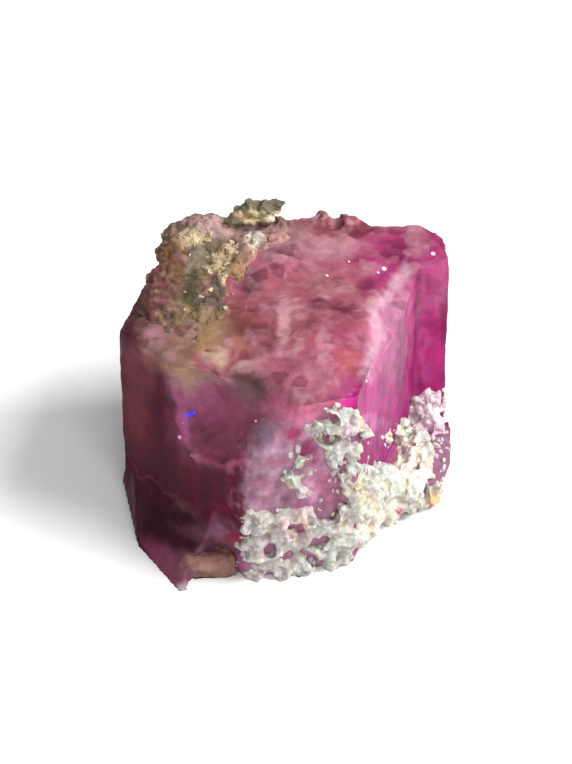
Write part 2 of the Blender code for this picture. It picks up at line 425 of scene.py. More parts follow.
# %% [markdown]
# ## The crystal's own relief
#
# The prism faces of beryl carry fine grooves along the crystal, left by growth. The end face
# is built of low terraces, and the whole surface is a little uneven from etching and wear.
# A bump map could fake this, but then the outline would stay perfectly straight, so the
# points themselves are moved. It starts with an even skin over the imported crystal.

# %% Even skin on the crystal
CRYSTAL_CELL = 0.088
STEP_ROUNDS = 3

crystal_mesh = remeshed(bench_copy(nodes["beryl_crystal"]), CRYSTAL_CELL)
write_points(crystal_mesh, evened(crystal_mesh, read_points(crystal_mesh), STEP_ROUNDS))
crystal = survey(crystal_mesh)
print(len(crystal["points"]), "points on the crystal")

# %% [markdown]
# Then the worn places are rounded. The top is worn as far as its rear edge, and so are a few
# places on the front. The bowl in the left face is worn most: its thin corner and the pocket
# above the foot are given in millimetres, because the camera looks along them. Each row of
# worn places has its middle on the photograph, half its width and height, its turn, and how
# strongly it wears. The bowl has the first four of these.

# %% Worn places
WORN_ROUNDS = 60
BOWL_ROUNDS = 260
BOWL_SHARE = 1.4
BOWL = (232, 418, 74, 58)
WORN_PLACES = [
    (300, 245, 34, 40, 0, 1.0),
    (150, 350, 46, 30, 35, 1.0),
    (186, 520, 34, 34, 0, 1.0),
    (176, 460, 20, 22, 0, 1.5),
]
HOLLOW_CORNERS = [
    ((-4.1, -4.7, 4.4), (1.5, 1.4, 1.0)),
    ((-2.7, -6.1, 1.5), (1.3, 1.0, 1.3)),
]

worn = evened(crystal_mesh, crystal["points"], WORN_ROUNDS)
wearing = ramp(crystal["normals"][:, 2], 0.3, 0.7) * (1 - ramp(crystal["points"][:, 1], 4.4, 5.6))
for across, down, wide, tall, turn, share in WORN_PLACES:
    wearing = np.clip(wearing + share * spot(crystal, across, down, wide, tall, turn), 0, 1)
bowl = BOWL_SHARE * spot(crystal, *BOWL)
for middle, reach in HOLLOW_CORNERS:
    bowl = np.maximum(bowl, BOWL_SHARE * around(crystal, middle, reach))
bowl = evened(crystal_mesh, np.clip(bowl, 0, 1), 30)
bowl_worn = evened(crystal_mesh, crystal["points"], BOWL_ROUNDS)
worn += bowl[:, None] * (bowl_worn - worn)
wearing = np.maximum(0.9 * wearing, bowl)[:, None]
write_points(crystal_mesh, crystal["points"] + wearing * (worn - crystal["points"]))
print("worn by up to", round(np.abs(wearing * (worn - crystal["points"])).max(), 2), "mm")

# %% [markdown]
# Grooves belong on the sides and terraces on the top, so each point is asked which way it
# faces, how near it is to the floor, and whether it lies on an edge. An edge is where much
# smoothing would move the point far.

# %% Which part of the crystal a point belongs to
crystal = survey(crystal_mesh)
spots = crystal["points"]
steepness = 1 - np.abs(crystal["normals"][:, 2])
on_side = ramp(steepness, 0.35, 0.7)
lit_from_above = ramp(crystal["normals"][:, 2], 0.4, 0.8)
on_top = lit_from_above * ramp(spots[:, 2], 4.0, 6.0)
off_floor = ramp(spots[:, 2], 0.05, 0.4)
unseen = on_side * (1 - crystal["facing"])
rounding = np.linalg.norm(spots - evened(crystal_mesh, spots, 14), axis=1)
on_edge = ramp(rounding, 0.03, 0.09) * (0.35 + 0.65 * unseen)
print("share of points on the sides", round(on_side.mean(), 2), "and top", round(on_top.mean(), 2))

# %% [markdown]
# Three patterns make most of the relief. Noise that is stretched upright gives the grooves.
# Angular blocks in two sizes give the terraces of the top and their chips. Long plates cover
# the far sides, where the growth steps of such a crystal are coarser.

# %% Grooves, terraces and plates
GROOVE_WIDTH = 0.17
UPRIGHT = np.array([1.0, 1.0, 0.09])
BLOCK_SIZE = 1.5
CHIP_SIZE = 0.6
PLATE_WIDTH = 1.3
PLATE_STRETCH = np.array([1.0, 1.0, 0.22])

drift = np.stack([smooth_noise(spots, 1.2, seed) for seed in (14, 15, 16)], axis=1)
wander = (spots + 0.25 * drift) * UPRIGHT
grooves = 0.6 * smooth_noise(wander, GROOVE_WIDTH, 5) + smooth_noise(wander, 3 * GROOVE_WIDTH, 6)
blocks, block_depth = block_noise(spots + 0.5 * drift, BLOCK_SIZE, 7)
chips, chip_depth = block_noise(spots + 0.2 * drift, CHIP_SIZE, 17)
blocks = blocks * block_depth
chips = chips * chip_depth
plates, plate_depth = block_noise((spots + 0.3 * drift) * PLATE_STRETCH, PLATE_WIDTH, 19)
plates = on_side * plates * plate_depth
print("grooves from", round(grooves.min(), 2), "to", round(grooves.max(), 2))

# %% [markdown]
# Now the patterns add up, each with its height in millimetres. The edges are chipped, more on
# the far side, and etching has eaten into the back. Two nubs stand on the rear edge.

# %% Add up the relief
GROOVE_DEPTH = 0.035
BLOCK_RISE = 0.10
CHIP_RISE = 0.045
PLATE_RISE = 0.13
EDGE_CHIP = 0.22
ETCH_DEPTH = 0.10
NUB_RISE = 0.22
NUB_SINK = 0.16
NUBS = ((1.95, 6.0, 8.6), (1.3, 0.8, 0.6))

wear = 0.05 * layered_noise(spots, 1.6, 8) + 0.008 * layered_noise(spots, 0.4, 9)
turned_away = np.maximum(crystal["normals"][:, 0], crystal["normals"][:, 1])
grooved = on_side * (0.35 + 0.65 * ramp(turned_away, 0, 0.6))
grooved += 0.6 * unseen
relief = GROOVE_DEPTH * grooved * grooves + BLOCK_RISE * on_top * blocks + wear
relief += CHIP_RISE * on_top * chips + PLATE_RISE * unseen * plates
relief -= EDGE_CHIP * on_edge * ramp(layered_noise(spots, 0.9, 20), -0.1, 0.5)
etched_back = unseen * ramp(smooth_noise(spots, 2.4, 24), 0.05, 0.45)
relief -= ETCH_DEPTH * etched_back * ramp(layered_noise(spots, 0.5, 25), -0.3, 0.5)
relief += around(crystal, *NUBS) * (NUB_RISE * layered_noise(spots, 0.45, 18) - NUB_SINK)
print("relief from", round(relief.min(), 2), "to", round(relief.max(), 2), "mm")

# %% [markdown]
# The left face carries two marks of its own: a bowl, where a flake broke out long ago and
# left a raised lip, and an old crack that crosses the face below it. The front right face
# is frosted by etching. All three are carved where the photograph shows them.

# %% Bowl, crack and frost
BOWL_LIP = [(176, 396), (179, 425), (185, 447), (196, 459), (220, 466), (244, 464)]
LIP_RISE = 0.07
BOWL_FLOOR = (216, 420, 36, 40)
BOWL_FLOOR_SOFTNESS = 1.0
BOWL_DEPTH = 0.32
CRACK = [(128, 454), (139, 476), (158, 487), (186, 512), (215, 530), (236, 535)]
CRACK_DEPTH = 0.05
FROST = [(290, 470, 52, 52), (330, 520, 90, 40)]
FROST_RISE = 0.05

frosted = np.clip(sum(spot(crystal, *place) for place in FROST), 0, 1)
etched = layered_noise(spots, 0.45, 10)
bowl_floor = spot(crystal, *BOWL_FLOOR, soft=BOWL_FLOOR_SOFTNESS)
relief += LIP_RISE * near_line(crystal, BOWL_LIP, 7) - BOWL_DEPTH * bowl_floor
relief += FROST_RISE * frosted * etched - CRACK_DEPTH * near_line(crystal, CRACK, 4)
print("relief from", round(relief.min(), 2), "to", round(relief.max(), 2), "mm")

# %% [markdown]
# The relief fades out towards the floor, so the crystal still stands flat on its base.
# The base itself is a break. It is hollowed in shallow shells, and only parts of its rim
# touch the floor. The rim of the bowl and its thin corner are smoothed once more.

# %% Push the crystal's points
CORNER_ROUNDS = 160
CORNER = ((-4.1, -4.5, 4.4), (1.1, 1.2, 0.8))
HOLLOW_HEIGHT = 0.12
SHELL_HEIGHT = 0.10
SHELL_SIZE = 2.2
RIM_BREAK = 0.28

shaped = spots + crystal["normals"] * (relief * off_floor)[:, None]
bowl_rim = np.clip(4 * bowl * (1 - bowl), 0, 1)[:, None]
shaped += bowl_rim * (evened(crystal_mesh, shaped, 8) - shaped)
bowl_corner = around(crystal, *CORNER)[:, None]
shaped += bowl_corner * (evened(crystal_mesh, shaped, CORNER_ROUNDS) - shaped)
shaped[:, 2] = np.maximum(shaped[:, 2], 0)
underside = (crystal["normals"][:, 2] < -0.9).astype(float)
hollow = ramp(evened(crystal_mesh, underside, 20), 0.8, 1.0)
fracture, fracture_depth = block_noise(spots + 0.6 * drift, SHELL_SIZE, 26)
shaped[:, 2] += hollow * (HOLLOW_HEIGHT + SHELL_HEIGHT * fracture * fracture_depth)
broken_rim = (1 - ramp(spots[:, 2], 0.05, 0.6)) * ramp(spots[:, 1], -1.0, 1.5) * (1 - hollow)
rim_steps = ramp(layered_noise(spots * [1, 1, 0], 1.1, 28), 0.0, 0.5)
shaped[:, 2] += RIM_BREAK * broken_rim * rim_steps
write_points(crystal_mesh, shaped)
print("the crystal is now", round(np.ptp(shaped[:, 2]), 2), "mm tall")

# %% [markdown]
# Later pieces have to sit on this very surface. A ray from the eye through a pixel finds the
# point of the crystal that the photograph shows there.

# %% The crystal under a pixel
crystal_tree = BVHTree.FromPolygons(
    [Vector(p) for p in shaped], [tuple(f.vertices) for f in crystal_mesh.polygons]
)


def on_crystal(across, down):
    """The point of the crystal under a pixel of the photograph, and its normal there."""
    place, normal, _, _ = crystal_tree.ray_cast(Vector(eye), Vector(photo_ray(across, down)))
    return place, normal


middle_of_photo = (PHOTO_WIDTH / 2, PHOTO_HEIGHT / 2)
print("the middle of the photograph meets the crystal at", on_crystal(*middle_of_photo)[0])

# %% [markdown]
# ## The crystal's colours
#
# Red beryl takes its colour from manganese, and this crystal is zoned: nearly black maroon
# where light comes back from deep inside, dusty rose on the etched top, lilac where the
# surface is frosted, and hot magenta at the right. Each face first gets its own colour from
# the direction it faces. Then the zones that the photograph shows are laid on one by one,
# each as a soft oval with a name, and noise breaks their borders up.

# %% Face colours
MAROON = shade(76, 14, 34)
DUSTY_ROSE = shade(184, 92, 112)
MAGENTA = shade(168, 45, 116)
RASPBERRY = shade(146, 44, 94)
LILAC_FROST = shade(158, 108, 134)
WINE = shade(120, 38, 66)
PRISM_TURN = -17


def faces_towards(skin, azimuth):
    """How much each point faces a compass direction, 1 straight at it and 0 at 60 degrees."""
    turn = math.radians(azimuth)
    return ramp(skin["normals"][:, :2] @ [math.cos(turn), math.sin(turn)], 0.5, 0.9)


colours = np.tile(WINE, (len(spots), 1))
for step, tint in enumerate([MAGENTA, RASPBERRY, WINE, MAROON, MAROON, LILAC_FROST]):
    colours = painted(colours, faces_towards(crystal, PRISM_TURN + 60 * step), tint)
colours = painted(colours, ramp(crystal["normals"][:, 2], 0.45, 0.8), DUSTY_ROSE)
print("mean colour of the faces, as light:", colours.mean(axis=0).round(2))

# %% [markdown]
# Each row below is one zone that can be seen: what it is, its colour, its middle on the
# photograph, half its width and height, how far it is turned, how soft its border is, and
# how strongly it covers what is under it.

# %% Zones of the crystal
ZONES = [
    ("rose middle of the top", (186, 92, 112), 305, 320, 75, 80, 0, 0.5, 0.6),
    ("brown rose beside the rubble", (148, 74, 80), 245, 320, 28, 34, 0, 0.5, 0.7),
    ("red brown hollow", (132, 62, 60), 243, 326, 18, 9, -10, 0.5, 0.7),
    ("peach floor of the hollow", (184, 112, 104), 238, 345, 16, 8, 0, 0.5, 0.6),
    ("light pink patch", (220, 148, 158), 284, 323, 9, 26, 4, 0.7, 0.85),
    ("second pink patch", (214, 138, 142), 298, 346, 5, 13, 10, 0.4, 0.7),
    ("rose behind the patches", (164, 70, 86), 306, 292, 22, 14, 0, 0.5, 0.5),
    ("pink block", (190, 78, 114), 345, 350, 30, 30, -8, 0.3, 0.8),
    ("light edge of the block", (222, 140, 154), 324, 346, 6, 24, 8, 0.4, 0.6),
    ("warm middle of the block", (204, 96, 104), 350, 360, 15, 12, 20, 0.5, 0.6),
    ("shadow over the block", (116, 34, 54), 330, 306, 24, 4, 4, 0.5, 0.95),
    ("shadow left of the patches", (132, 52, 66), 274, 330, 3, 24, 6, 0.5, 0.7),
    ("rose between the patches", (196, 112, 124), 303, 322, 8, 20, 4, 0.5, 0.6),
    ("shadow between the patches", (150, 68, 86), 292, 322, 3, 20, 4, 0.6, 0.5),
    ("shadow right of the block", (166, 56, 96), 372, 352, 5, 24, 12, 0.5, 0.6),
    ("dusty rise", (190, 120, 128), 322, 285, 16, 12, 20, 0.5, 0.6),
    ("dark rose dip", (140, 50, 70), 302, 261, 10, 8, 0, 0.4, 0.7),
    ("dark rose dip behind", (148, 44, 76), 332, 228, 20, 7, 6, 0.5, 0.8),
    ("rose at the rear edge", (164, 82, 92), 318, 228, 40, 12, 4, 0.5, 0.65),
    ("pale plateau", (208, 136, 154), 336, 248, 28, 11, -8, 0.4, 0.8),
    ("grey rose behind the chip", (160, 112, 112), 300, 232, 16, 9, 0, 0.5, 0.6),
    ("veil beside the rubble", (176, 124, 134), 262, 238, 40, 20, 8, 0.5, 0.7),
    ("magenta corner of the top", (186, 46, 116), 402, 262, 48, 36, 15, 0.5, 0.85),
    ("deep magenta spot", (150, 28, 92), 396, 252, 8, 9, 0, 0.4, 0.8),
    ("deep magenta spot behind", (160, 36, 100), 370, 285, 14, 7, -20, 0.5, 0.5),
    ("light wedge at the corner", (160, 68, 112), 430, 278, 24, 14, 20, 0.4, 0.9),
    ("magenta rim at the far corner", (166, 36, 100), 424, 238, 24, 14, 14, 0.5, 0.85),
    ("lilac side", (204, 118, 162), 392, 335, 21, 52, 8, 0.5, 0.8),
    ("striped magenta side", (162, 4, 102), 431, 365, 22, 66, 0, 0.4, 0.92),
    ("dark right edge", (124, 6, 72), 446, 322, 7, 24, 0, 0.5, 0.8),
    # The magenta glow is partly painted glow: a bright colour that stands for light coming through
    # the crystal, besides the real clearness given to the same place further on.
    ("magenta glow", (196, 16, 132), 368, 403, 34, 22, 5, 0.5, 0.95),
    ("pale pink under the glow", (222, 128, 188), 372, 424, 15, 9, 10, 0.4, 0.7),
    ("magenta window", (186, 74, 146), 382, 446, 12, 20, 0, 0.3, 0.9),
    ("rose shoulder", (194, 102, 132), 300, 395, 42, 30, 0, 0.5, 0.7),
    ("lilac frost", (146, 108, 124), 275, 470, 32, 48, 0, 0.4, 0.85),
    ("grey in the frost", (142, 112, 136), 262, 440, 18, 14, 0, 0.5, 0.6),
    ("raspberry window high", (152, 36, 82), 294, 434, 7, 7, 0, 0.4, 0.85),
    ("raspberry window middle", (152, 36, 82), 309, 451, 10, 11, 0, 0.4, 0.85),
    ("raspberry window low", (172, 106, 132), 332, 492, 14, 19, -30, 0.4, 0.9),
    # Painted shade: a dark line on the beryl under the clay peak.
    ("painted shade under the clay peak", (110, 30, 60), 332, 435, 11, 2.5, 0, 0.4, 0.8),
    ("shoulder of the left face", (104, 44, 54), 140, 385, 20, 60, 0, 0.4, 0.8),
    ("grey pink blotch", (160, 118, 116), 151, 346, 12, 10, 0, 0.5, 0.6),
    ("dark streak beside the bowl", (70, 8, 32), 163, 425, 18, 50, 0, 0.5, 0.85),
    ("dark heart of the left face", (72, 8, 36), 148, 500, 30, 46, 0, 0.5, 0.95),
    ("upper face of the foot", (58, 8, 30), 180, 530, 38, 24, 12, 0.5, 0.95),
    ("clear wine window", (92, 4, 40), 218, 486, 28, 36, 0, 0.4, 0.9),
    ("deep red corner", (124, 8, 34), 235, 541, 10, 7, 0, 0.5, 0.8),
    ("mauve above the foot", (116, 62, 84), 208, 538, 34, 6, 18, 0.5, 0.7),
    ("mauve foot", (142, 62, 98), 167, 570, 18, 30, -30, 0.4, 0.85),
    ("pale tip of the foot", (196, 172, 188), 183, 588, 9, 7, 0, 0.5, 0.8),
    ("plum bowl", (146, 70, 100), 214, 424, 40, 40, 0, 0.4, 0.8),
    ("green grey floor of the bowl", (80, 64, 62), 249, 386, 22, 17, 10, 0.8, 0.85),
    ("lilac lip", (168, 92, 150), 181, 418, 4.5, 24, -12, 0.5, 0.8),
    ("brown stain", (132, 96, 62), 178, 262, 16, 26, 20, 0.5, 0.8),
    ("tan stain", (160, 130, 88), 203, 325, 26, 26, 0, 0.5, 0.8),
    ("orange edge of the stain", (190, 118, 78), 206, 339, 6, 13, 25, 0.8, 0.6),
    ("grey rose below the peach", (150, 110, 108), 205, 378, 26, 8, 10, 0.5, 0.6),
    ("peach edge of the stain", (218, 168, 152), 216, 357, 14, 9, 10, 0.5, 0.85),
    ("pale crumb stain", (200, 170, 160), 244, 366, 12, 4, -22, 0.8, 0.7),
    ("grey stain under the rubble", (104, 92, 82), 190, 290, 26, 30, 0, 0.5, 0.7),
    ("plum pit", (66, 34, 44), 250, 281, 12, 12, 0, 0.5, 0.9),
    ("dull slope under the rubble", (120, 78, 76), 158, 318, 30, 18, 20, 0.5, 0.8),
    ("brown slope by the left corner", (112, 64, 68), 136, 322, 14, 18, 0, 0.5, 0.8),
    ("wine corner", (82, 32, 46), 128, 336, 15, 20, 0, 0.5, 0.9),
    ("tan tongue", (150, 118, 86), 182, 366, 14, 26, -20, 0.6, 0.75),
    ("dusty veil over the left edge", (146, 104, 96), 160, 350, 22, 18, 35, 0.7, 0.65),
    ("violet sliver", (160, 104, 142), 443, 455, 10, 36, 0, 0.5, 0.85),
    ("pink nubs", (184, 118, 124), 333, 212, 30, 10, 0, 0.3, 1.0),
    ("tan dust round the clay", (120, 82, 78), 206, 566, 34, 14, 0, 0.7, 0.6),
    ("mauve between the clays", (146, 92, 122), 243, 568, 11, 12, 0, 0.5, 0.85),
    ("pale streak above the foot", (138, 80, 98), 203, 529, 13, 5, 20, 0.6, 0.6),
    ("pale streak by the clay", (128, 74, 92), 223, 540, 14, 6, 30, 0.6, 0.5),
]
LINES = [
    # Painted highlight: a light line where the ridge of the top edge catches the light.
    ("painted highlight down the top edge", (226, 168, 192), 11, 0.7,
     [(404, 270), (388, 292), (372, 312), (378, 330), (367, 375)]),
    ("fold at the corner", (196, 150, 178), 4, 0.4, [(404, 270), (405, 250)]),
    ("magenta behind the fold", (150, 34, 98), 10, 0.8, [(412, 224), (406, 246)]),
    ("light groove", (210, 96, 170), 7, 0.35, [(424, 330), (424, 380)]),
    # Painted highlight: a light line along the raised lip of the bowl.
    ("painted highlight on the lip of the bowl", (156, 76, 106), 6, 0.75, BOWL_LIP),
    # Painted highlight: a light line down the prism edge.
    ("painted highlight on the prism edge", (112, 44, 64), 4, 0.6, [(244, 470), (244, 518)]),
    ("pale crack", (128, 72, 92), 2.5, 0.4, CRACK),
]
for what, tint, across, down, wide, tall, turn, soft, strength in ZONES:
    cover = strength * spot(crystal, across, down, wide, tall, turn, soft)
    colours = painted(colours, cover, shade(*tint))
for what, tint, width, strength, corners in LINES:
    colours = painted(colours, strength * near_line(crystal, corners, width), shade(*tint))
print(len(ZONES), "zones and", len(LINES), "lines laid on the crystal")

# %% [markdown]
# The photograph says nothing about the back. It gets what such a crystal carries there: iron
# stains that run down from the rubble, frosted patches, and a film of clay above the base.
# These rows give the middle and the reach of each stain in millimetres of the model.

# %% Stains on the far side
FAR_STAINS = [
    ("ochre stain under the rubble", (150, 112, 74), (-4.4, 4.6, 7.0), (2.0, 1.8, 1.5), 0.75),
    ("tan run down the back", (140, 98, 80), (-2.4, 5.6, 5.0), (0.8, 1.2, 2.4), 0.6),
    ("frosted patch on the back", (176, 128, 148), (1.4, 6.2, 2.8), (2.2, 1.6, 2.0), 0.7),
    ("dusty rise on the back", (160, 92, 108), (0.6, 6.0, 6.6), (2.6, 1.4, 1.0), 0.6),
    ("clay film above the base", (190, 176, 170), (-2.8, 6.0, 0.3), (2.4, 1.4, 0.8), 0.8),
    ("dusty patch on the left", (148, 88, 100), (-5.6, 1.8, 5.0), (1.2, 2.0, 1.8), 0.65),
    ("grey film low on the left", (132, 108, 110), (-5.4, 0.2, 0.9), (1.2, 2.2, 1.0), 0.6),
    ("lilac frost on the right", (190, 130, 166), (5.9, 3.6, 4.4), (1.4, 1.6, 2.4), 0.6),
    ("pale break underneath", (170, 96, 118), (1.5, 1.5, 0.0), (3.2, 2.4, 0.6), 0.6),
    ("dark break underneath", (84, 22, 44), (-3.0, -1.5, 0.0), (2.6, 3.0, 0.6), 0.6),
    ("pink nubs from behind", (184, 118, 124), (1.95, 6.0, 8.7), (1.4, 0.9, 0.6), 0.9),
]
for what, tint, middle, reach, strength in FAR_STAINS:
    cover = strength * around(crystal, middle, reach) * (1 - crystal["facing"])
    cover *= 0.75 + 0.5 * layered_noise(spots, 0.7, 27)
    colours = painted(colours, cover, shade(*tint))
print(len(FAR_STAINS), "stains laid on the far side")

# %% [markdown]
# A painted highlight goes on the brow of every terrace and groove, and painted shade in the
# low places. The same relief that moved the points now lightens and darkens them a little. On
# the top the terraces, some clouds and the chips are light on one side of their pattern and dark
# on the other, and the frost is mottled in the same way.

# %% Painted highlight on brows and painted shade in grooves on the top
BROW_HEIGHT = 0.06
BROW_SHARE = 0.35
PAINTED_BROW_HIGHLIGHT = shade(240, 190, 205)
PAINTED_GROOVE_SHADE = shade(84, 22, 44)
LIGHT_TERRACE = shade(206, 132, 150)
DARK_TERRACE = shade(112, 36, 52)
LIGHT_FROST = shade(184, 152, 172)
DARK_FROST = shade(140, 78, 108)

cloudy = layered_noise(spots, 1.1, 11)
brow = relief - evened(crystal_mesh, relief, 12)
# Painted highlight on the brows and painted shade in the grooves, by the local height of the
# relief.
colours = painted(colours, on_top * ramp(brow, 0.0, BROW_HEIGHT) * BROW_SHARE, PAINTED_BROW_HIGHLIGHT)
colours = painted(colours, on_top * ramp(-brow, 0.0, BROW_HEIGHT) * BROW_SHARE, PAINTED_GROOVE_SHADE)
for pattern, share in [(blocks, 0.70), (cloudy, 0.50), (chips, 0.45)]:
    colours = painted(colours, share * on_top * ramp(pattern, 0.1, 0.9), LIGHT_TERRACE)
    colours = painted(colours, share * on_top * ramp(-pattern, 0.1, 0.9), DARK_TERRACE)
colours = painted(colours, 0.35 * frosted * ramp(etched, 0.0, 0.5), LIGHT_FROST)
colours = painted(colours, 0.45 * frosted * ramp(-etched, 0.1, 0.6), DARK_FROST)
print("brows from", round(brow.min(), 3), "to", round(brow.max(), 3), "mm")

# %% [markdown]
# The whole crystal is mottled a little. The sides also get clouds and upright streaks, their
# plates, and a painted highlight on their brows with painted shade in their hollows, and all of
# that is stronger on the far side, where no zone from the photograph breaks up the colour.

# %% Clouds and streaks
mottled = layered_noise(spots, 0.35, 13)
streaky = layered_noise(spots * UPRIGHT, 0.5, 12)
side_pattern = 0.25 * cloudy + 0.15 * streaky + 0.30 * plates
# Painted highlight on the brows and painted shade in the hollows of the sides.
side_pattern += 3.0 * np.clip(brow, -BROW_HEIGHT, BROW_HEIGHT)
pattern = 0.22 * mottled + on_side * (1 + 0.8 * unseen) * side_pattern
pattern += 0.4 * hollow * fracture * fracture_depth
colours = np.clip(colours * np.clip(1 + pattern, 0.3, 2)[:, None], 0, 1)
print("the pattern changes the light by", round(float(np.abs(pattern).mean()), 2), "on average")

# %% [markdown]
# The colours in the tables are those that the picture shows, with its light on them. The
# lamps fall hardest on the top, so the stone itself has to be darker there than it looks.

# %% Take the light back out of the colours
LIGHT_ON_TOP = np.array([1.75, 1.40, 1.55])
LIGHT_ON_RIGHT = 1.75
facing_right = on_side * ramp(crystal["normals"][:, 0], 0.2, 0.8)
colours /= 1 + lit_from_above[:, None] * (LIGHT_ON_TOP - 1)
colours /= 1 + facing_right[:, None] * (LIGHT_ON_RIGHT - 1)
print("mean colour of the stone, as light:", colours.mean(axis=0).round(2))

# %% [markdown]
# ## Clear and frosted beryl
#
# Where the crystal is clear, light enters it and comes back tinted. Where it is etched, light
# scatters at the surface. One material does both: the transmission and roughness come from
# values stored on the points, and a plain absorption inside gives the depth its red. Each row
# is a clear place: what it is, its middle on the photograph, half its width and height, and
# how clear it is.

# %% Clarity of each zone
LEAST_CLEAR = 0.05
CLEAR_RANGE = 0.25
MEAN_ROUGHNESS = 0.42
CLEAR_PLACES = [
    ("dark left face", 185, 490, 62, 62, 0.25),
    ("bowl", 214, 424, 36, 36, 0.4),
    ("window below the glow", 382, 446, 12, 20, 0.3),
    ("raspberry window in the middle", 309, 451, 10, 11, 0.9),
    ("raspberry window low", 332, 492, 14, 19, 0.9),
    ("striped magenta side", 425, 370, 30, 66, 0.5),
    ("magenta glow", 372, 405, 28, 22, 0.8),
]
clearness = 0.15 * unseen
for what, across, down, wide, tall, share in CLEAR_PLACES:
    clearness = np.maximum(clearness, share * spot(crystal, across, down, wide, tall))
clear = LEAST_CLEAR + CLEAR_RANGE * clearness
rough = MEAN_ROUGHNESS - 0.5 * (clear - LEAST_CLEAR) + 0.3 * frosted + 0.08 * mottled
store_colour(crystal_mesh, "zone_colour", colours)
store_value(crystal_mesh, "clear", np.clip(clear, 0, 0.9))
store_value(crystal_mesh, "rough", np.clip(rough, 0.12, 0.85))
print("clear from", round(clear.min(), 2), "to", round(clear.max(), 2))

# %% [markdown]
# A material is a tree of nodes. The beryl, the clay and the rock all use the same few kinds,
# so these helpers add them, with every size in millimetres.

# %% Shader helpers


def node(tree, kind, **settings):
    made = tree.nodes.new(kind)
    for name, value in settings.items():
        setattr(made, name, value)
    return made


def attribute(tree, name, output):
    return node(tree, "ShaderNodeAttribute", attribute_name=name).outputs[output]


def grain(tree, size, detail=3.0):
    """Noise texture whose lumps are about size millimetres wide."""
    place = node(tree, "ShaderNodeTexCoord")
    texture = node(tree, "ShaderNodeTexNoise")
    texture.inputs["Scale"].default_value = 1 / (size * MM)
    texture.inputs["Detail"].default_value = detail
    tree.links.new(place.outputs["Object"], texture.inputs["Vector"])
    return texture.outputs["Fac"]


def scaled(tree, value, low, high):
    """Stretches a 0 to 1 pattern to another range."""
    stretch = node(tree, "ShaderNodeMapRange")
    stretch.inputs["To Min"].default_value = low
    stretch.inputs["To Max"].default_value = high
    tree.links.new(value, stretch.inputs["Value"])
    return stretch.outputs["Result"]


def tinted(tree, colour, pattern, low, high):
    """A colour made darker and lighter by a pattern, between two factors."""
    mix = node(tree, "ShaderNodeMix", data_type="RGBA", blend_type="MULTIPLY")
    mix.inputs["Factor"].default_value = 1
    tree.links.new(colour, mix.inputs["A"])
    tree.links.new(scaled(tree, pattern, low, high), mix.inputs["B"])
    return mix.outputs["Result"]


def bumped(tree, surface, pattern, height):
    """Lets a pattern tilt the surface by ridges of that height in millimetres."""
    bump = node(tree, "ShaderNodeBump")
    bump.inputs["Strength"].default_value = 1
    bump.inputs["Distance"].default_value = height * MM
    tree.links.new(pattern, bump.inputs["Height"])
    tree.links.new(bump.outputs["Normal"], surface.inputs["Normal"])


print("lumps of 1 mm need a noise scale of", round(1 / MM))

# %% [markdown]
# The beryl's own tree is short. Its zones come from the points, and noise in two sizes gives
# the fine grain and the veils between them. The gloss is kept low, because the faces of this
# crystal are etched and only its clear parts shine.

# %% Beryl material
FINE_GRAIN = 0.12
VEIL_SIZE = 0.9
GRAIN_HEIGHT = 0.02
BERYL_IOR = 1.57
BERYL_GLOSS = 0.04
INNER_RED = (0.80, 0.12, 0.36, 1)
INNER_DENSITY = 600

beryl = bpy.data.materials.new("red_beryl")
beryl.use_nodes = True
tree = beryl.node_tree
surface = tree.nodes["Principled BSDF"]
colour = tinted(tree, attribute(tree, "zone_colour", "Vector"), grain(tree, FINE_GRAIN), 0.8, 1.2)
colour = tinted(tree, colour, grain(tree, VEIL_SIZE, 5.0), 0.75, 1.25)
tree.links.new(colour, surface.inputs["Base Color"])
tree.links.new(attribute(tree, "clear", "Fac"), surface.inputs["Transmission Weight"])
tree.links.new(attribute(tree, "rough", "Fac"), surface.inputs["Roughness"])
surface.inputs["IOR"].default_value = BERYL_IOR
surface.inputs["Specular IOR Level"].default_value = BERYL_GLOSS
bumped(tree, surface, grain(tree, FINE_GRAIN), GRAIN_HEIGHT)
inside = node(tree, "ShaderNodeVolumeAbsorption")
inside.inputs["Color"].default_value = INNER_RED
inside.inputs["Density"].default_value = INNER_DENSITY
tree.links.new(inside.outputs["Volume"], tree.nodes["Material Output"].inputs["Volume"])
make_piece("red_beryl_crystal", crystal_mesh, beryl, "beryl_crystal")

# %% [markdown]
# ## White clay on the front corner
#
# The cavity where the crystal grew filled later with white clay. A thick crust of it still
# hides the lower right corner, with thin lacy rims that creep over the beryl. It could be
# painted on, but clay stands proud of the crystal, so a closed skin is grown over the
# crystal's own cells wherever the photograph shows clay.

# %% Growing a skin over the crystal
SKIN_ROOT = 0.14
SKIN_EDGE = -0.05
OUTWARD_ROUNDS = 60

quads = np.empty(len(crystal_mesh.polygons) * 4, np.int32)
crystal_mesh.polygons.foreach_get("vertices", quads)
quads = quads.reshape(-1, 4)
crystal["places"] = shaped
outward = evened(crystal_mesh, crystal["normals"], OUTWARD_ROUNDS)
outward /= np.linalg.norm(outward, axis=1)[:, None]


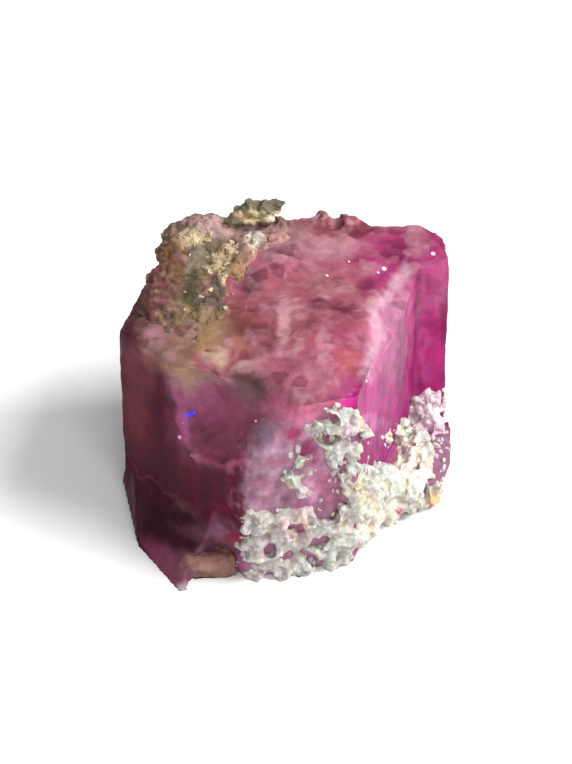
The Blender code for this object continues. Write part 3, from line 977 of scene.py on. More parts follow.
def grown_skin(height):
    """A closed slab over the crystal's cells where height, in millimetres, is above the
    skin's edge. Its underside is sunk into the crystal, so no gap shows."""
    kept = quads[(height[quads] > SKIN_EDGE).all(axis=1)]
    used, corners = np.unique(kept, return_inverse=True)
    corners = corners.reshape(-1, 4)
    lifted = shaped[used] + outward[used] * height[used, None]
    rooted = shaped[used] - outward[used] * SKIN_ROOT
    ahead = np.roll(corners, -1, axis=1)
    sides = np.stack([corners.ravel(), ahead.ravel()], axis=1)
    keys = sides[:, 0] * len(used) + sides[:, 1]
    back_keys = sides[:, 1] * len(used) + sides[:, 0]
    rim = sides[~np.isin(keys, back_keys)]
    below = len(used)
    faces = [
        corners,
        corners[:, ::-1] + below,
        np.stack([rim[:, 1], rim[:, 0], rim[:, 0] + below, rim[:, 1] + below], axis=1),
    ]
    skin_mesh = bpy.data.meshes.new("skin")
    skin_mesh.from_pydata(np.vstack([lifted, rooted]), [], np.vstack(faces))
    return skin_mesh


print(len(quads), "cells on the crystal to grow on")

# %% [markdown]
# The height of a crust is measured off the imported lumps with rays, so it stays where the
# model has it. Inside some ovals it is pressed lower, low rims creep out around it, and
# windows let the beryl show. One remesh then makes the slab an even net.

# %% How high a crust stands
RAY_START = 2.4
THICKEST = 1.3


def packed_height(name):
    """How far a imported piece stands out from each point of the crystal. -1 where it doesn't
    cover the point."""
    bm = bench_copy(nodes[name])
    cover = BVHTree.FromBMesh(bm)
    bm.free()
    height = np.full(len(shaped), -1.0)
    for index, (place, normal) in enumerate(zip(shaped, outward)):
        start = Vector(place + normal * RAY_START)
        hit = cover.ray_cast(start, Vector(-normal), RAY_START)
        if hit[0] is not None:
            height[index] = RAY_START - hit[3]
    return height


def crust_height(name, pressed, rims, windows=()):
    """Height of a crust over the crystal. Each row is an oval on the photograph: its middle,
    half its width and height, and its turn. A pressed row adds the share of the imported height
    that is left, and a rim adds its thickness in millimetres."""
    height = np.minimum(packed_height(name), THICKEST)
    height = evened(crystal_mesh, np.maximum(height, -0.4), 14)
    for across, down, wide, tall, turn, share in pressed:
        inside = spot(crystal, across, down, wide, tall, turn, 0.6) * (height > 0)
        height = height * (1 - (1 - share) * inside)
    ragged = layered_noise(shaped, 0.45, 21) + 0.5 * layered_noise(shaped, 1.2, 22)
    for across, down, wide, tall, turn, thick in rims:
        cover = spot(crystal, across, down, wide, tall, turn, 0.6)
        rim = thick * (cover + 0.5 * ragged - 0.45)
        height = np.where(cover > 0, np.maximum(height, rim), height)
    for across, down, wide, tall, turn in windows:
        hole = spot(crystal, across, down, wide, tall, turn, 0.5)
        height = height - 2.0 * ramp(hole + 0.3 * ragged * (hole > 0), 0.4, 0.7)
    return height


def crust_mesh(height, cell, rounds=1):
    """The skin of that height as one even mesh, its packed steps smoothed away."""
    bm = bmesh.new()
    skin_mesh = grown_skin(height)
    bm.from_mesh(skin_mesh)
    bpy.data.meshes.remove(skin_mesh)
    mesh = remeshed(bm, cell)
    write_points(mesh, evened(mesh, read_points(mesh), rounds))
    return mesh


print("a crust stands at most", THICKEST, "mm out of the crystal before its lumps")

# %% [markdown]
# The white crust has a thick root in the corner between the two prisms. From there it creeps
# along the foot of the front right face and up in a torn peak. Much of it is thin, and the
# beryl looks through it in small raspberry windows.

# %% Where the white clay lies
CLAY_RIMS = [
    (350, 426, 13, 17, 0, 0.7),
    (346, 455, 17, 22, 0, 0.5),
    (314, 428, 9, 8, 20, 0.35),
    (301, 463, 9, 12, 0, 0.55),
    (292, 480, 9, 9, 30, 0.5),
    (305, 490, 10, 6, 0, 0.5),
    (262, 524, 20, 14, 10, 0.5),
    (300, 566, 60, 11, -6, 0.5),
    (374, 554, 36, 13, -25, 0.6),
    (250, 548, 14, 9, 0, 0.4),
    (320, 545, 60, 18, -4, 0.5),
    (365, 505, 32, 40, 0, 0.6),
    (408, 454, 18, 27, 0, 0.5),
    (405, 505, 34, 26, -20, 0.6),
    (434, 500, 10, 20, 0, 0.4),
]
CLAY_PRESSED = [
    (350, 440, 30, 52, 0, 0.40),
    (292, 538, 70, 34, 0, 0.40),
    (372, 505, 50, 44, 0, 0.60),
    (412, 460, 30, 40, 0, 0.65),
    (394, 440, 14, 26, 0, 0.25),
]
CLAY_WINDOWS = [
    (330, 490, 12, 17, -25),
    (294, 524, 11, 6, 10),
    (326, 510, 10, 6, -20),
    (402, 512, 5, 5, 0),
    (386, 446, 10, 18, 0),
    (446, 470, 5, 12, 0),
    (353, 437, 4, 7, 20),
    (330, 434, 12, 4, 4),
    (321, 414, 8, 4, 0),
    (360, 455, 3, 6, 0),
    (312, 556, 5, 4, 0),
    (218, 540, 17, 30, 0),
    (421, 492, 3, 6, 20),
    (268, 548, 7, 4, 20),
    (341, 462, 5, 6, 0),
    (318, 540, 8, 4, -10),
]
clay_height = crust_height("white_matrix_crust", CLAY_PRESSED, CLAY_RIMS, CLAY_WINDOWS)
print("white clay up to", round(float(clay_height.max()), 2), "mm high")

# %% [markdown]
# Dried clay is lumpy at every size, like a cauliflower. Round pebbles of three sizes, summed,
# give that. They are added twice: first to the height, which tears the thin parts into lace,
# and then to the finished skin, where they round each lump.

# %% White clay crust
CLAY_CELL = 0.06
CLAY_ROUNDS = 4
LOWEST = 0.02


def cauliflower(points, seed):
    """Rounded lumps on rounded lumps. Their crowns reach 0.35, and the clefts go deeper."""
    lumps = 0.7 * pebble_noise(points, 0.80, seed) + 0.9 * pebble_noise(points, 0.42, seed + 1)
    return lumps + 0.4 * pebble_noise(points, 0.2, seed + 2) - 1.65


def roughened(height, pattern):
    """Adds a pattern to the height of a crust, but not where there is no crust."""
    return height + pattern * ramp(height, -0.3, 0.0)


lacy = layered_noise(shaped, 0.42, 36, 2)
thin = 1 - ramp(clay_height, 0.1, 0.6)
clay_height = roughened(clay_height, 0.45 * cauliflower(shaped, 35) + 0.11 - 0.25 * thin * lacy)
clay_mesh = crust_mesh(clay_height, CLAY_CELL, CLAY_ROUNDS)
clay = survey(clay_mesh)


def sculpt(mesh, skin, relief):
    """Moves points along their normals, but keeps them above the floor. Gives each point's
    height over its neighbourhood, which tells brows from hollows."""
    places = skin["points"] + skin["normals"] * relief[:, None]
    places[:, 2] = np.maximum(places[:, 2], LOWEST)
    write_points(mesh, places)
    skin["places"] = places
    return relief - evened(mesh, relief, 10)


clay_relief = 0.20 * cauliflower(clay["points"], 31)
clay_relief += 0.04 * layered_noise(clay["points"], 0.4, 34)
clay_brow = sculpt(clay_mesh, clay, clay_relief)
print(len(clay["points"]), "points on the white clay")

# %% [markdown]
# The clay is a warm white with cream, khaki and an orange stain where iron got in, and lilac
# where it is thin over the beryl. Clouds of four tints are laid over the zones, painted shade
# sits in the hollows, and the brows get a painted highlight.

# %% White clay colours
CLAY_BASE = (176, 179, 170)
CLAY_HOLLOW_SHADE = (128, 98, 114)
CLAY_BROW_HIGHLIGHT = (238, 240, 232)
CLAY_ZONES = [
    ("cream", (244, 244, 224), 411, 462, 17, 26, 0, 0.5, 0.85),
    ("cream low", (214, 206, 178), 385, 520, 26, 14, -20, 0.5, 0.6),
    ("khaki", (168, 158, 112), 357, 487, 9, 13, 0, 0.5, 0.8),
    ("khaki low", (176, 168, 130), 372, 500, 7, 8, 0, 0.5, 0.6),
    ("lilac in the peak", (182, 146, 164), 350, 434, 10, 11, 0, 0.5, 0.75),
    ("orange stain", (208, 152, 92), 434, 503, 8, 13, 20, 0.5, 0.85),
    ("pink clay", (204, 166, 170), 295, 527, 17, 12, 0, 0.5, 0.8),
    ("lilac rim", (196, 160, 182), 315, 500, 20, 18, 0, 0.5, 0.6),
    ("raspberry spot", (150, 60, 92), 402, 512, 4, 4, 0, 0.5, 0.9),
    ("rose spot", (176, 96, 120), 262, 553, 9, 5, 0, 0.5, 0.7),
    ("lilac sliver at the right", (168, 112, 150), 444, 462, 8, 26, 0, 0.5, 0.7),
    # Painted shade: grey between the lumps of clay.
    ("painted shade between the lumps", (150, 146, 142), 330, 520, 20, 10, 0, 0.5, 0.5),
    ("lilac grey lobe", (160, 142, 148), 270, 540, 34, 26, 0, 0.5, 0.45),
    ("grey band at the foot", (186, 184, 180), 315, 556, 50, 10, -6, 0.5, 0.3),
]


def zone_colours(skin, base, zones):
    colours = np.tile(shade(*base), (len(skin["points"]), 1))
    for what, tint, across, down, wide, tall, turn, soft, strength in zones:
        cover = strength * spot(skin, across, down, wide, tall, turn, soft)
        colours = painted(colours, cover, shade(*tint))
    return colours


def tint_clouds(skin, colours, tints, strength):
    """Lays small clouds of other tints on a crust. Each tint has its own size and seed."""
    for size, seed, tint in tints:
        cloud = layered_noise(skin["points"], size, seed)
        colours = painted(colours, strength * ramp(cloud, 0.1, 0.7), shade(*tint))
    return colours


def hollow_shade_brow_highlight(colours, brow, size, dark, light):
    """Painted shade in the hollows of a relief and a painted highlight on its brows."""
    colours = painted(colours, 0.7 * ramp(-brow, 0, size), shade(*dark))
    return painted(colours, 0.5 * ramp(brow, 0, size), shade(*light))


CLAY_TINTS = [
    (0.45, 37, (214, 190, 140)),
    (0.35, 38, (168, 134, 146)),
    (0.55, 39, (150, 148, 128)),
    (0.90, 40, (150, 128, 132)),
]
clay_colours = zone_colours(clay, CLAY_BASE, CLAY_ZONES)
clay_colours = tint_clouds(clay, clay_colours, CLAY_TINTS, 0.5)
# Painted shade in the hollows and a painted highlight on the brows of the clay.
clay_colours = hollow_shade_brow_highlight(clay_colours, clay_brow, 0.05, CLAY_HOLLOW_SHADE, CLAY_BROW_HIGHLIGHT)
store_colour(clay_mesh, "stone_colour", clay_colours)
print(len(CLAY_ZONES), "zones and", len(CLAY_TINTS), "clouds laid on the white clay")

# %% [markdown]
# Clay and rock are dull and opaque, so one recipe serves them all: the colour stored on the
# points, grain in two sizes over it, a roughness that follows the grain, and a bump for what
# is finer than the mesh.

# %% Stone material
STONE_GLOSS = 0.25


def stone_material(name, grain_size, height, contrast):
    """A dull mineral finish: the stored colour, grain in two sizes, and a rough bump."""
    stone = bpy.data.materials.new(name)
    stone.use_nodes = True
    tree = stone.node_tree
    surface = tree.nodes["Principled BSDF"]
    fine = grain(tree, grain_size)
    colour = attribute(tree, "stone_colour", "Vector")
    colour = tinted(tree, colour, fine, 1 - contrast, 1 + contrast)
    colour = tinted(tree, colour, grain(tree, 5 * grain_size), 1 - contrast / 2, 1 + contrast / 2)
    tree.links.new(colour, surface.inputs["Base Color"])
    tree.links.new(scaled(tree, fine, 0.75, 1.0), surface.inputs["Roughness"])
    surface.inputs["Specular IOR Level"].default_value = STONE_GLOSS
    bumped(tree, surface, fine, height)
    return stone


white_clay = stone_material("white_clay", grain_size=0.08, height=0.05, contrast=0.12)
make_piece("white_clay_crust", clay_mesh, white_clay, "white_matrix_crust")

# %% [markdown]
# ## A small clay patch on the right edge
#
# The same clay clings to the right edge of the crystal, higher up. It is made in the same
# way, and it is a piece of its own because it touches no other clay.

# %% Side clay
SIDE_CELL = 0.05
SIDE_PRESSED = [(438, 408, 20, 26, 0, 0.6)]
SIDE_RIMS = [(438, 410, 10, 18, 0, 0.4), (430, 430, 12, 9, 0, 0.3)]
SIDE_BASE = (184, 166, 171)
SIDE_HOLLOW_SHADE = (150, 112, 134)
SIDE_BROW_HIGHLIGHT = (226, 220, 220)
SIDE_ZONES = [
    # Painted light on the left half of the patch, which the lamps leave in shade.
    ("painted light on the shaded left half", (232, 212, 222), 430, 412, 8, 24, 0, 0.5, 0.7),
    ("bright crumb", (248, 246, 242), 439, 415, 6, 7, 0, 0.5, 0.9),
    ("pink root", (206, 160, 184), 430, 428, 12, 7, 0, 0.5, 0.7),
]
side_height = crust_height("side_clay_patch", SIDE_PRESSED, SIDE_RIMS)
side_height = roughened(side_height, 0.5 * cauliflower(shaped, 45))
side_mesh = crust_mesh(side_height, SIDE_CELL)
side = survey(side_mesh)
side_brow = sculpt(side_mesh, side, 0.24 * cauliflower(side["points"], 41))
side_colours = zone_colours(side, SIDE_BASE, SIDE_ZONES)
# Painted shade in the hollows and a painted highlight on the brows of the patch.
side_colours = hollow_shade_brow_highlight(side_colours, side_brow, 0.05, SIDE_HOLLOW_SHADE, SIDE_BROW_HIGHLIGHT)
store_colour(side_mesh, "stone_colour", side_colours)
make_piece("side_clay", side_mesh, white_clay, "side_clay_patch")

# %% [markdown]
# ## Ochre rubble on the far left corner
#
# Broken rhyolite, stained by iron, is cemented to the far left corner. It is coarser than
# the clay: grains of a few tenths of a millimetre, brown, tan, cream and a dark grey green.
# The skin is grown in the same way, but the second relief is gravel and not cauliflower.

# %% Ochre rubble
RUBBLE_CELL = 0.06
RUBBLE_RIMS = [
    (158, 316, 34, 14, 16, 0.28),
    (196, 318, 24, 14, 0, 0.32),
    (205, 300, 30, 26, 0, 0.4),
    (232, 262, 26, 22, 0, 0.4),
    (256, 240, 12, 10, 0, 0.4),
    (240, 222, 40, 12, -5, 0.3),
    (205, 335, 18, 12, 20, 0.3),
]
RUBBLE_PRESSED = [
    (232, 280, 40, 38, 0, 0.45),
    (200, 306, 34, 14, 5, 0.5),
]
rubble_height = crust_height("ochre_matrix_crust", RUBBLE_PRESSED, RUBBLE_RIMS)
rubble_height = roughened(rubble_height, 0.22 * cauliflower(shaped, 55))
rubble_mesh = crust_mesh(rubble_height, RUBBLE_CELL)
rubble = survey(rubble_mesh)
gravel = 1.2 * pebble_noise(rubble["points"], 0.62, 51)
gravel += 0.6 * pebble_noise(rubble["points"], 0.3, 52)
gravel += 0.3 * layered_noise(rubble["points"], 0.8, 53) - 1.55
rubble_brow = sculpt(rubble_mesh, rubble, 0.22 * gravel)
print(len(rubble["points"]), "points on the rubble")

# %% [markdown]
# Its colours are those of single stones and stains, so there are many small zones. Speckle
# gives each grain its own tone, and the parts that face up are darkened, because the lamps
# fall hardest there.

# %% Ochre rubble colours
RUBBLE_BASE = (122, 98, 80)
RUBBLE_HOLLOW_SHADE = (52, 44, 38)
RUBBLE_BROW_HIGHLIGHT = (150, 128, 104)
RUBBLE_ZONES = [
    ("wine brown slope", (106, 58, 60), 152, 292, 24, 46, 25, 0.5, 0.95),
    ("olive brown middle", (112, 98, 72), 212, 275, 28, 34, 0, 0.5, 0.8),
    ("lilac grey shoulder", (198, 160, 158), 225, 222, 46, 15, -8, 0.5, 0.85),
    ("ochre brown", (112, 74, 46), 176, 256, 15, 20, 0, 0.5, 0.9),
    ("grey", (136, 126, 114), 196, 262, 10, 18, 0, 0.5, 0.8),
    ("dark green grey", (74, 66, 48), 198, 288, 18, 22, 20, 0.5, 0.95),
    ("dark green grey low", (84, 78, 64), 222, 296, 14, 14, 0, 0.5, 0.9),
    ("plum pit", (92, 58, 66), 250, 280, 13, 12, 0, 0.5, 0.9),
    ("rose beside the pit", (178, 128, 130), 268, 246, 24, 22, 0, 0.5, 0.85),
    ("cream grains", (226, 204, 160), 194, 235, 12, 8, -10, 0.5, 0.9),
    ("peach grain", (232, 204, 168), 230, 250, 7, 6, 0, 0.4, 0.9),
    ("cream streak", (218, 194, 148), 216, 262, 6, 10, 20, 0.5, 0.9),
    ("pale grain by the pit", (206, 184, 144), 226, 281, 5, 7, 0, 0.5, 0.8),
    ("tan", (190, 142, 104), 240, 268, 8, 14, 30, 0.5, 0.75),
    ("white crumb", (248, 242, 234), 256, 237, 8, 9, 0, 0.4, 0.95),
    ("tan slope", (154, 128, 86), 208, 322, 24, 16, 0, 0.5, 0.8),
]
RUBBLE_TINTS = [
    (0.40, 56, (74, 72, 60)),
    (0.50, 57, (170, 142, 98)),
    (0.60, 58, (150, 108, 112)),
]
rubble_colours = zone_colours(rubble, RUBBLE_BASE, RUBBLE_ZONES)
rubble_colours = tint_clouds(rubble, rubble_colours, RUBBLE_TINTS, 0.45)
# Painted shade in the hollows and a painted highlight on the brows of the rubble.
rubble_colours = hollow_shade_brow_highlight(rubble_colours, rubble_brow, 0.08, RUBBLE_HOLLOW_SHADE, RUBBLE_BROW_HIGHLIGHT)
speckle = layered_noise(rubble["points"], 0.3, 54)
lit = 1 - 0.3 * ramp(rubble["normals"][:, 2], 0.2, 0.7)
rubble_colours = np.clip(rubble_colours * (lit * (1 + 0.35 * speckle))[:, None], 0, 1)
store_colour(rubble_mesh, "stone_colour", rubble_colours)
ochre_stone = stone_material("ochre_stone", grain_size=0.1, height=0.07, contrast=0.22)
make_piece("ochre_rubble", rubble_mesh, ochre_stone, "ochre_matrix_crust")

# %% [markdown]
# ## Olive rock chip
#
# A torn splinter of dark rhyolite stands on the rubble, with a frayed tip that points right.
# The photograph places it well, so its lumps are put where rays through named pixels meet an
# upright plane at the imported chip's depth. Fused and roughened, they read as one torn flake.
# Each row is a lump: its pixel, its half sizes in millimetres, and its turn.

# %% Rock chip
CHIP_PLANE = 4.8
CHIP_CELL = 0.035


def on_plane(across, down, depth):
    """The point at that y, in millimetres, under a pixel of the photograph."""
    ray = photo_ray(across, down)
    return eye + ray * (depth - eye[1]) / ray[1]


def lump(bm, middle, sizes, turn=0):
    """Adds an oval lump to a bmesh."""
    made = bmesh.ops.create_icosphere(bm, subdivisions=2, radius=1)["verts"]
    bmesh.ops.scale(bm, vec=sizes, verts=made)
    bmesh.ops.rotate(bm, verts=made, matrix=Matrix.Rotation(math.radians(turn), 3, "Y"))
    bmesh.ops.translate(bm, vec=middle, verts=made)


CHIP_LUMPS = [
    ((240, 213), (0.34, 0.36, 0.24), 0),
    ((249, 207), (0.34, 0.36, 0.32), -20),
    ((256, 210), (0.42, 0.40, 0.34), 0),
    ((265, 208), (0.40, 0.36, 0.32), 10),
    ((273, 206), (0.34, 0.30, 0.22), 0),
    ((279, 204), (0.26, 0.20, 0.10), -18),
    ((277, 210), (0.22, 0.22, 0.16), 30),
    ((252, 217), (0.50, 0.46, 0.26), 0),
    ((266, 217), (0.40, 0.42, 0.24), 0),
    ((236, 219), (0.36, 0.42, 0.26), 0),
]
chip_bm = bmesh.new()
for (across, down), sizes, turn in CHIP_LUMPS:
    lump(chip_bm, on_plane(across, down, CHIP_PLANE), sizes, turn)
chip_mesh = remeshed(chip_bm, CHIP_CELL)
write_points(chip_mesh, evened(chip_mesh, read_points(chip_mesh), 2))
chip = survey(chip_mesh)
torn, torn_depth = block_noise(chip["points"] * [1, 1, 1.6], 0.35, 61)
chip_relief = 0.10 * torn * torn_depth + 0.14 * layered_noise(chip["points"], 0.35, 62)
chip_brow = sculpt(chip_mesh, chip, chip_relief)
print(len(CHIP_LUMPS), "lumps fused into", len(chip["points"]), "points")

# %% [markdown]
# The chip is dark grey on top and cream to ochre on its torn underside.

# %% Rock chip colours
CHIP_BASE = (122, 116, 96)
CHIP_HOLLOW_SHADE = (58, 52, 42)
CHIP_BROW_HIGHLIGHT = (156, 148, 128)
CHIP_ZONES = [
    ("grey brow", (92, 84, 70), 262, 202, 24, 6, 0, 0.5, 0.85),
    # Painted shade in the cleft of the chip.
    ("painted shade in the cleft", (96, 86, 68), 262, 209, 12, 2, 10, 0.5, 0.5),
    ("ochre underside", (202, 180, 144), 248, 216, 17, 6, 0, 0.5, 0.85),
    ("olive spot", (150, 142, 96), 253, 214, 5, 4, 0, 0.5, 0.7),
    ("cream underside", (226, 208, 178), 272, 215, 9, 4, 0, 0.5, 0.85),
]
chip_colours = zone_colours(chip, CHIP_BASE, CHIP_ZONES)
# Painted shade in the hollows and a painted highlight on the brows of the chip.
chip_colours = hollow_shade_brow_highlight(chip_colours, chip_brow, 0.06, CHIP_HOLLOW_SHADE, CHIP_BROW_HIGHLIGHT)
store_colour(chip_mesh, "stone_colour", chip_colours)
olive_rock = stone_material("olive_rock", grain_size=0.07, height=0.04, contrast=0.2)
make_piece("olive_rock_chip", chip_mesh, olive_rock, "top_rock_chip")

# %% [markdown]
# ## Tan clay under the foot
#
# The hollow beside the foot is packed with tan clay, level with the beryl on its left and on
# its right. Lumps in two layers fill it up to the wall between those two points, and one
# remesh joins them. Each row of lumps has its height on the photograph, and the pixels where
# it starts and ends.

# %% Tan clay
TAN_CELL = 0.05
TAN_ROUNDS = 12
TAN_LEFT = (178, 568)
TAN_RIGHT = (243, 562)
TAN_ROWS = [
    (563, 190, 228),
    (569, 186, 233),
    (575, 187, 234),
    (580, 190, 231),
]
TAN_STEP = 6
TAN_LAYERS = (0.22, 0.50)
TAN_LUMP = 0.36


def on_wall(across, down, left, right):
    """The point under a pixel on the upright wall that joins two points, and the wall's
    normal, which looks away from the camera."""
    along = Vector((right[0] - left[0], right[1] - left[1], 0)).normalized()
    inward = Vector((-along[1], along[0], 0))
    ray = Vector(photo_ray(across, down))
    reach = inward.dot(Vector(left) - Vector(eye)) / inward.dot(ray)
    return Vector(eye) + ray * reach, inward


tan_bm = bmesh.new()
tan_left = on_crystal(*TAN_LEFT)[0]
tan_right = on_crystal(*TAN_RIGHT)[0]
for down, start, end in TAN_ROWS:
    for across in np.arange(start, end + 1, TAN_STEP):
        place, inward = on_wall(across, down, tan_left, tan_right)
        for sunk in TAN_LAYERS:
            lump(tan_bm, place + inward * sunk, (TAN_LUMP, TAN_LUMP, TAN_LUMP))
tan_mesh = remeshed(tan_bm, TAN_CELL)
write_points(tan_mesh, evened(tan_mesh, read_points(tan_mesh), TAN_ROUNDS))
tan = survey(tan_mesh)
tan_relief = 0.10 * cauliflower(tan["points"], 71) + 0.08 * layered_noise(tan["points"], 0.4, 74)
tan_brow = sculpt(tan_mesh, tan, tan_relief)
print("tan clay joins", [round(value, 1) for value in tan_left], "and",
      [round(value, 1) for value in tan_right], "mm")

# %% [markdown]
# The patch is a dull brown pink, mauve where it meets the beryl, with one paler grain.

# %% Tan clay colours
TAN_BASE = (130, 94, 86)
TAN_HOLLOW_SHADE = (92, 54, 56)
TAN_BROW_HIGHLIGHT = (166, 130, 116)
TAN_ZONES = [
    ("mauve side", (116, 70, 84), 180, 572, 7, 14, 0, 0.5, 0.7),
    ("mauve low side", (124, 84, 96), 205, 582, 24, 5, 0, 0.5, 0.6),
    ("pale grain", (166, 128, 112), 206, 568, 10, 5, 0, 0.5, 0.6),
    ("dark upper edge", (92, 50, 56), 208, 553, 34, 3, 0, 0.5, 0.7),
]
tan_colours = zone_colours(tan, TAN_BASE, TAN_ZONES)
# Painted shade in the hollows and a painted highlight on the brows of the tan clay.
tan_colours = hollow_shade_brow_highlight(tan_colours, tan_brow, 0.08, TAN_HOLLOW_SHADE, TAN_BROW_HIGHLIGHT)
store_colour(tan_mesh, "stone_colour", tan_colours)
tan_clay = stone_material("tan_clay", grain_size=0.08, height=0.05, contrast=0.2)
make_piece("tan_clay", tan_mesh, tan_clay, "tan_clay_patch")

# %% [markdown]
# ## Crumbs and grains
#
# Loose crumbs stick to the crystal around the crusts. Each is a small dented pebble, sunk a
# little into the surface that carries it. Hundreds of separate objects would be heavy, so the
# pebbles of one kind are joined in one mesh. A seeded generator scatters them, which gives
# the same crumbs on every run.

# %% Crumb helpers
CRUMB_SEED = 7
CRUMB_SINK = 0.3
CRUMB_DENT = 0.6
CRUMB_LOWEST = 0.01
rng = np.random.default_rng(CRUMB_SEED)


def scattered(skin, areas, far_areas):
    """Picks carrier points at random inside ovals on the photograph, and on the far side
    inside ovals given in millimetres."""
    covers = [(spot(skin, *area[:5], 0.6), area[5]) for area in areas]
    covers += [(around(skin, middle, reach), count) for middle, reach, count in far_areas]
    chosen = []
    for cover, count in covers:
        inside = np.nonzero((cover > 0.3) & (skin["places"][:, 2] > 0.15))[0]
        chosen.append(rng.choice(inside, size=min(count, len(inside)), replace=False))
    return np.concatenate(chosen)


def crumb_mesh(skin, carriers, smallest, largest, tints):
    """Rough pebbles on carrier points, each with one of the tints."""
    template = bmesh.new()
    bmesh.ops.create_icosphere(template, subdivisions=2, radius=1)
    ball = np.array([v.co for v in template.verts])
    triangles = np.array([[v.index for v in f.verts] for f in template.faces])
    template.free()
    points, faces, colours = [], [], []
    for count, index in enumerate(carriers):
        size = smallest * (largest / smallest) ** rng.random()
        stretch = size * rng.uniform(0.5, 1.5, 3)
        dent = 1 + CRUMB_DENT * smooth_noise(ball, 0.8, 80 + count)
        middle = skin["places"][index] - skin["normals"][index] * CRUMB_SINK * size
        points.append(middle + ball * stretch * dent[:, None])
        faces.append(triangles + count * len(ball))
        tint = shade(*tints[rng.integers(len(tints))]) * rng.uniform(0.85, 1.1)
        colours.append(np.tile(np.clip(tint, 0, 1), (len(ball), 1)))
    points = np.vstack(points)
    points[:, 2] = np.maximum(points[:, 2], CRUMB_LOWEST)
    mesh = bpy.data.meshes.new("crumbs")
    mesh.from_pydata(points, [], np.vstack(faces))
    store_colour(mesh, "stone_colour", np.vstack(colours))
    return mesh


print("crumbs are scattered with the seed", CRUMB_SEED)

# %% [markdown]
# White crumbs lie where the photograph shows them, around the clay, and on the far side
# above the base. Each row is an oval, first on the photograph and then in millimetres of the
# model, and how many crumbs lie in it.

# %% White clay crumbs
WHITE_AREAS = [
    (300, 472, 16, 22, 0, 10),
    (312, 428, 10, 8, 0, 16),
    (336, 425, 12, 20, 0, 16),
    (337, 465, 10, 26, 0, 16),
    (262, 520, 24, 8, -10, 24),
    (243, 547, 8, 14, 0, 12),
    (320, 508, 36, 8, -10, 16),
    (405, 434, 14, 6, 0, 8),
    (438, 470, 7, 32, 0, 22),
    (438, 410, 12, 24, 0, 14),
    (387, 439, 5, 7, 0, 12),
    (300, 564, 50, 6, -5, 30),
    (390, 544, 40, 8, -25, 24),
]
FAR_WHITE_AREAS = [
    ((-2.8, 6.2, 0.5), (2.2, 1.0, 0.5), 60),
    ((4.6, 4.8, 0.4), (1.6, 1.6, 0.4), 30),
    ((1.4, 6.6, 2.6), (1.4, 1.0, 1.4), 16),
    ((-5.6, 0.6, 0.5), (0.8, 2.0, 0.5), 26),
]
WHITE_TINTS = [(206, 202, 194), (196, 186, 184), (178, 158, 172), (198, 188, 164)]
white_carriers = scattered(crystal, WHITE_AREAS, FAR_WHITE_AREAS)
white_crumbs = crumb_mesh(crystal, white_carriers, 0.07, 0.17, WHITE_TINTS)
make_piece("white_clay_crumbs", white_crumbs, white_clay)
print(len(white_carriers), "white crumbs")

# %% [markdown]
# Cream and brown grains stud the rubble. They are broken rock, so they keep flat facets.

# %% Cream grains
CREAM_AREAS = [
    (194, 235, 16, 10, -10, 26),
    (230, 250, 9, 8, 0, 10),
    (216, 262, 8, 12, 20, 12),
    (257, 240, 10, 10, 0, 12),
    (205, 285, 30, 34, 0, 18),
    (235, 275, 14, 20, 30, 10),
]
FAR_CREAM_AREAS = [
    ((-4.4, 4.8, 8.0), (1.4, 0.8, 0.8), 30),
    ((-5.4, 2.8, 8.2), (0.6, 1.4, 0.6), 20),
]
CREAM_TINTS = [
    (190, 172, 140),
    (172, 154, 126),
    (160, 138, 110),
    (158, 150, 138),
    (128, 108, 84),
]
cream_carriers = scattered(rubble, CREAM_AREAS, FAR_CREAM_AREAS)
cream_crumbs = crumb_mesh(rubble, cream_carriers, 0.04, 0.11, CREAM_TINTS)
make_piece("cream_grains", cream_crumbs, ochre_stone).data.shade_flat()
print(len(cream_carriers), "cream grains")

# %% [markdown]
# ## Glints
#
# A few tiny facets on the crystal show as bright points, and three side by side flash blue.
# Each is a six-sided flake, half sunk in the beryl, whose pale colour, blue on three, is a
# painted glint. A mirror shows a lamp when it faces halfway between the lamp and the eye, so each
# flake also leans from the surface towards that direction. Each row is a flake: its pixel, its
# radius in millimetres and its colour.

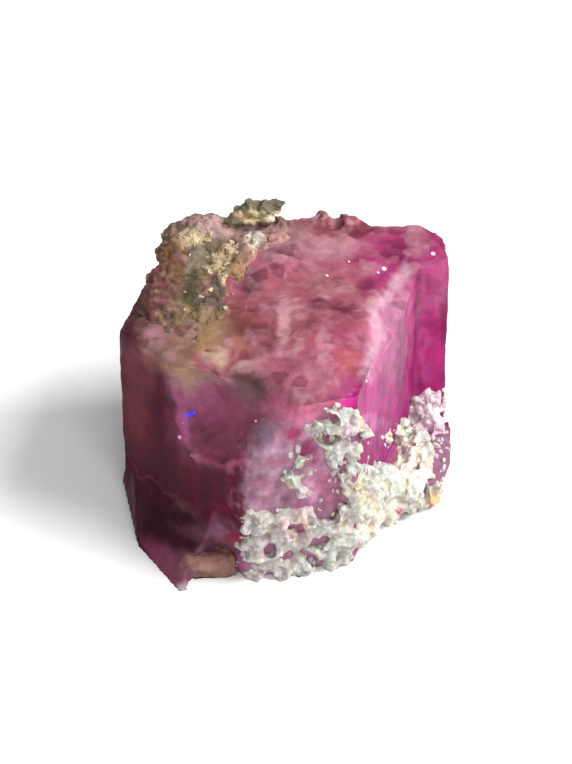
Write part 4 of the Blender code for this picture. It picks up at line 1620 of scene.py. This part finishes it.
# %% Glint flakes
GLINTS = [
    ((384, 269), 0.12, (236, 196, 222)),
    ((378, 273), 0.07, (226, 180, 210)),
    ((433, 254), 0.12, (232, 186, 214)),
    ((327, 276), 0.08, (226, 176, 190)),
    ((349, 262), 0.06, (220, 170, 186)),
    ((366, 381), 0.07, (228, 176, 208)),
    ((387, 437), 0.13, (240, 214, 232)),
    ((180, 437), 0.10, (214, 160, 210)),
    ((256, 421), 0.06, (196, 150, 160)),
    ((438, 485), 0.10, (236, 220, 226)),
    ((187, 415), 0.11, (108, 92, 244)),
    ((190.5, 414), 0.12, (84, 70, 240)),
    ((194.5, 412), 0.10, (104, 84, 244)),
    ((183, 423), 0.05, (168, 120, 214)),
]
FLAKE_THICKNESS = 0.05
FLAKE_TAPER = 0.8
FLAKE_LEAN = 0.5
FLAKE_LIFT = 0.01
LAMP_DIRECTION = Vector((0.66, -0.06, 0.74))


def glint_mesh():
    """All the flakes as one mesh, each on the point of the crystal under its pixel."""
    mirror = (LAMP_DIRECTION - Vector(look)).normalized()
    bm = bmesh.new()
    tints = []
    for (across, down), size, tint in GLINTS:
        place, normal = on_crystal(across, down)
        made = bmesh.ops.create_cone(
            bm,
            cap_ends=True,
            segments=6,
            radius1=size,
            radius2=FLAKE_TAPER * size,
            depth=FLAKE_THICKNESS,
        )["verts"]
        tilt = (FLAKE_LEAN * mirror + normal).normalized()
        bmesh.ops.rotate(bm, verts=made, matrix=tilt.to_track_quat("Z", "X").to_matrix())
        bmesh.ops.translate(bm, verts=made, vec=place + normal * FLAKE_LIFT)
        tints += [shade(*tint)] * len(made)
    mesh = bpy.data.meshes.new("glints")
    bm.to_mesh(mesh)
    bm.free()
    store_colour(mesh, "stone_colour", np.array(tints))
    return mesh


glint = stone_material("glint_facets", grain_size=0.05, height=0.002, contrast=0.1)
make_piece("glint_flakes", glint_mesh(), glint).data.shade_flat()

# %% [markdown]
# ## The end
#
# The visual model must be as large as the imported one.

# %% End
print("all pieces made")
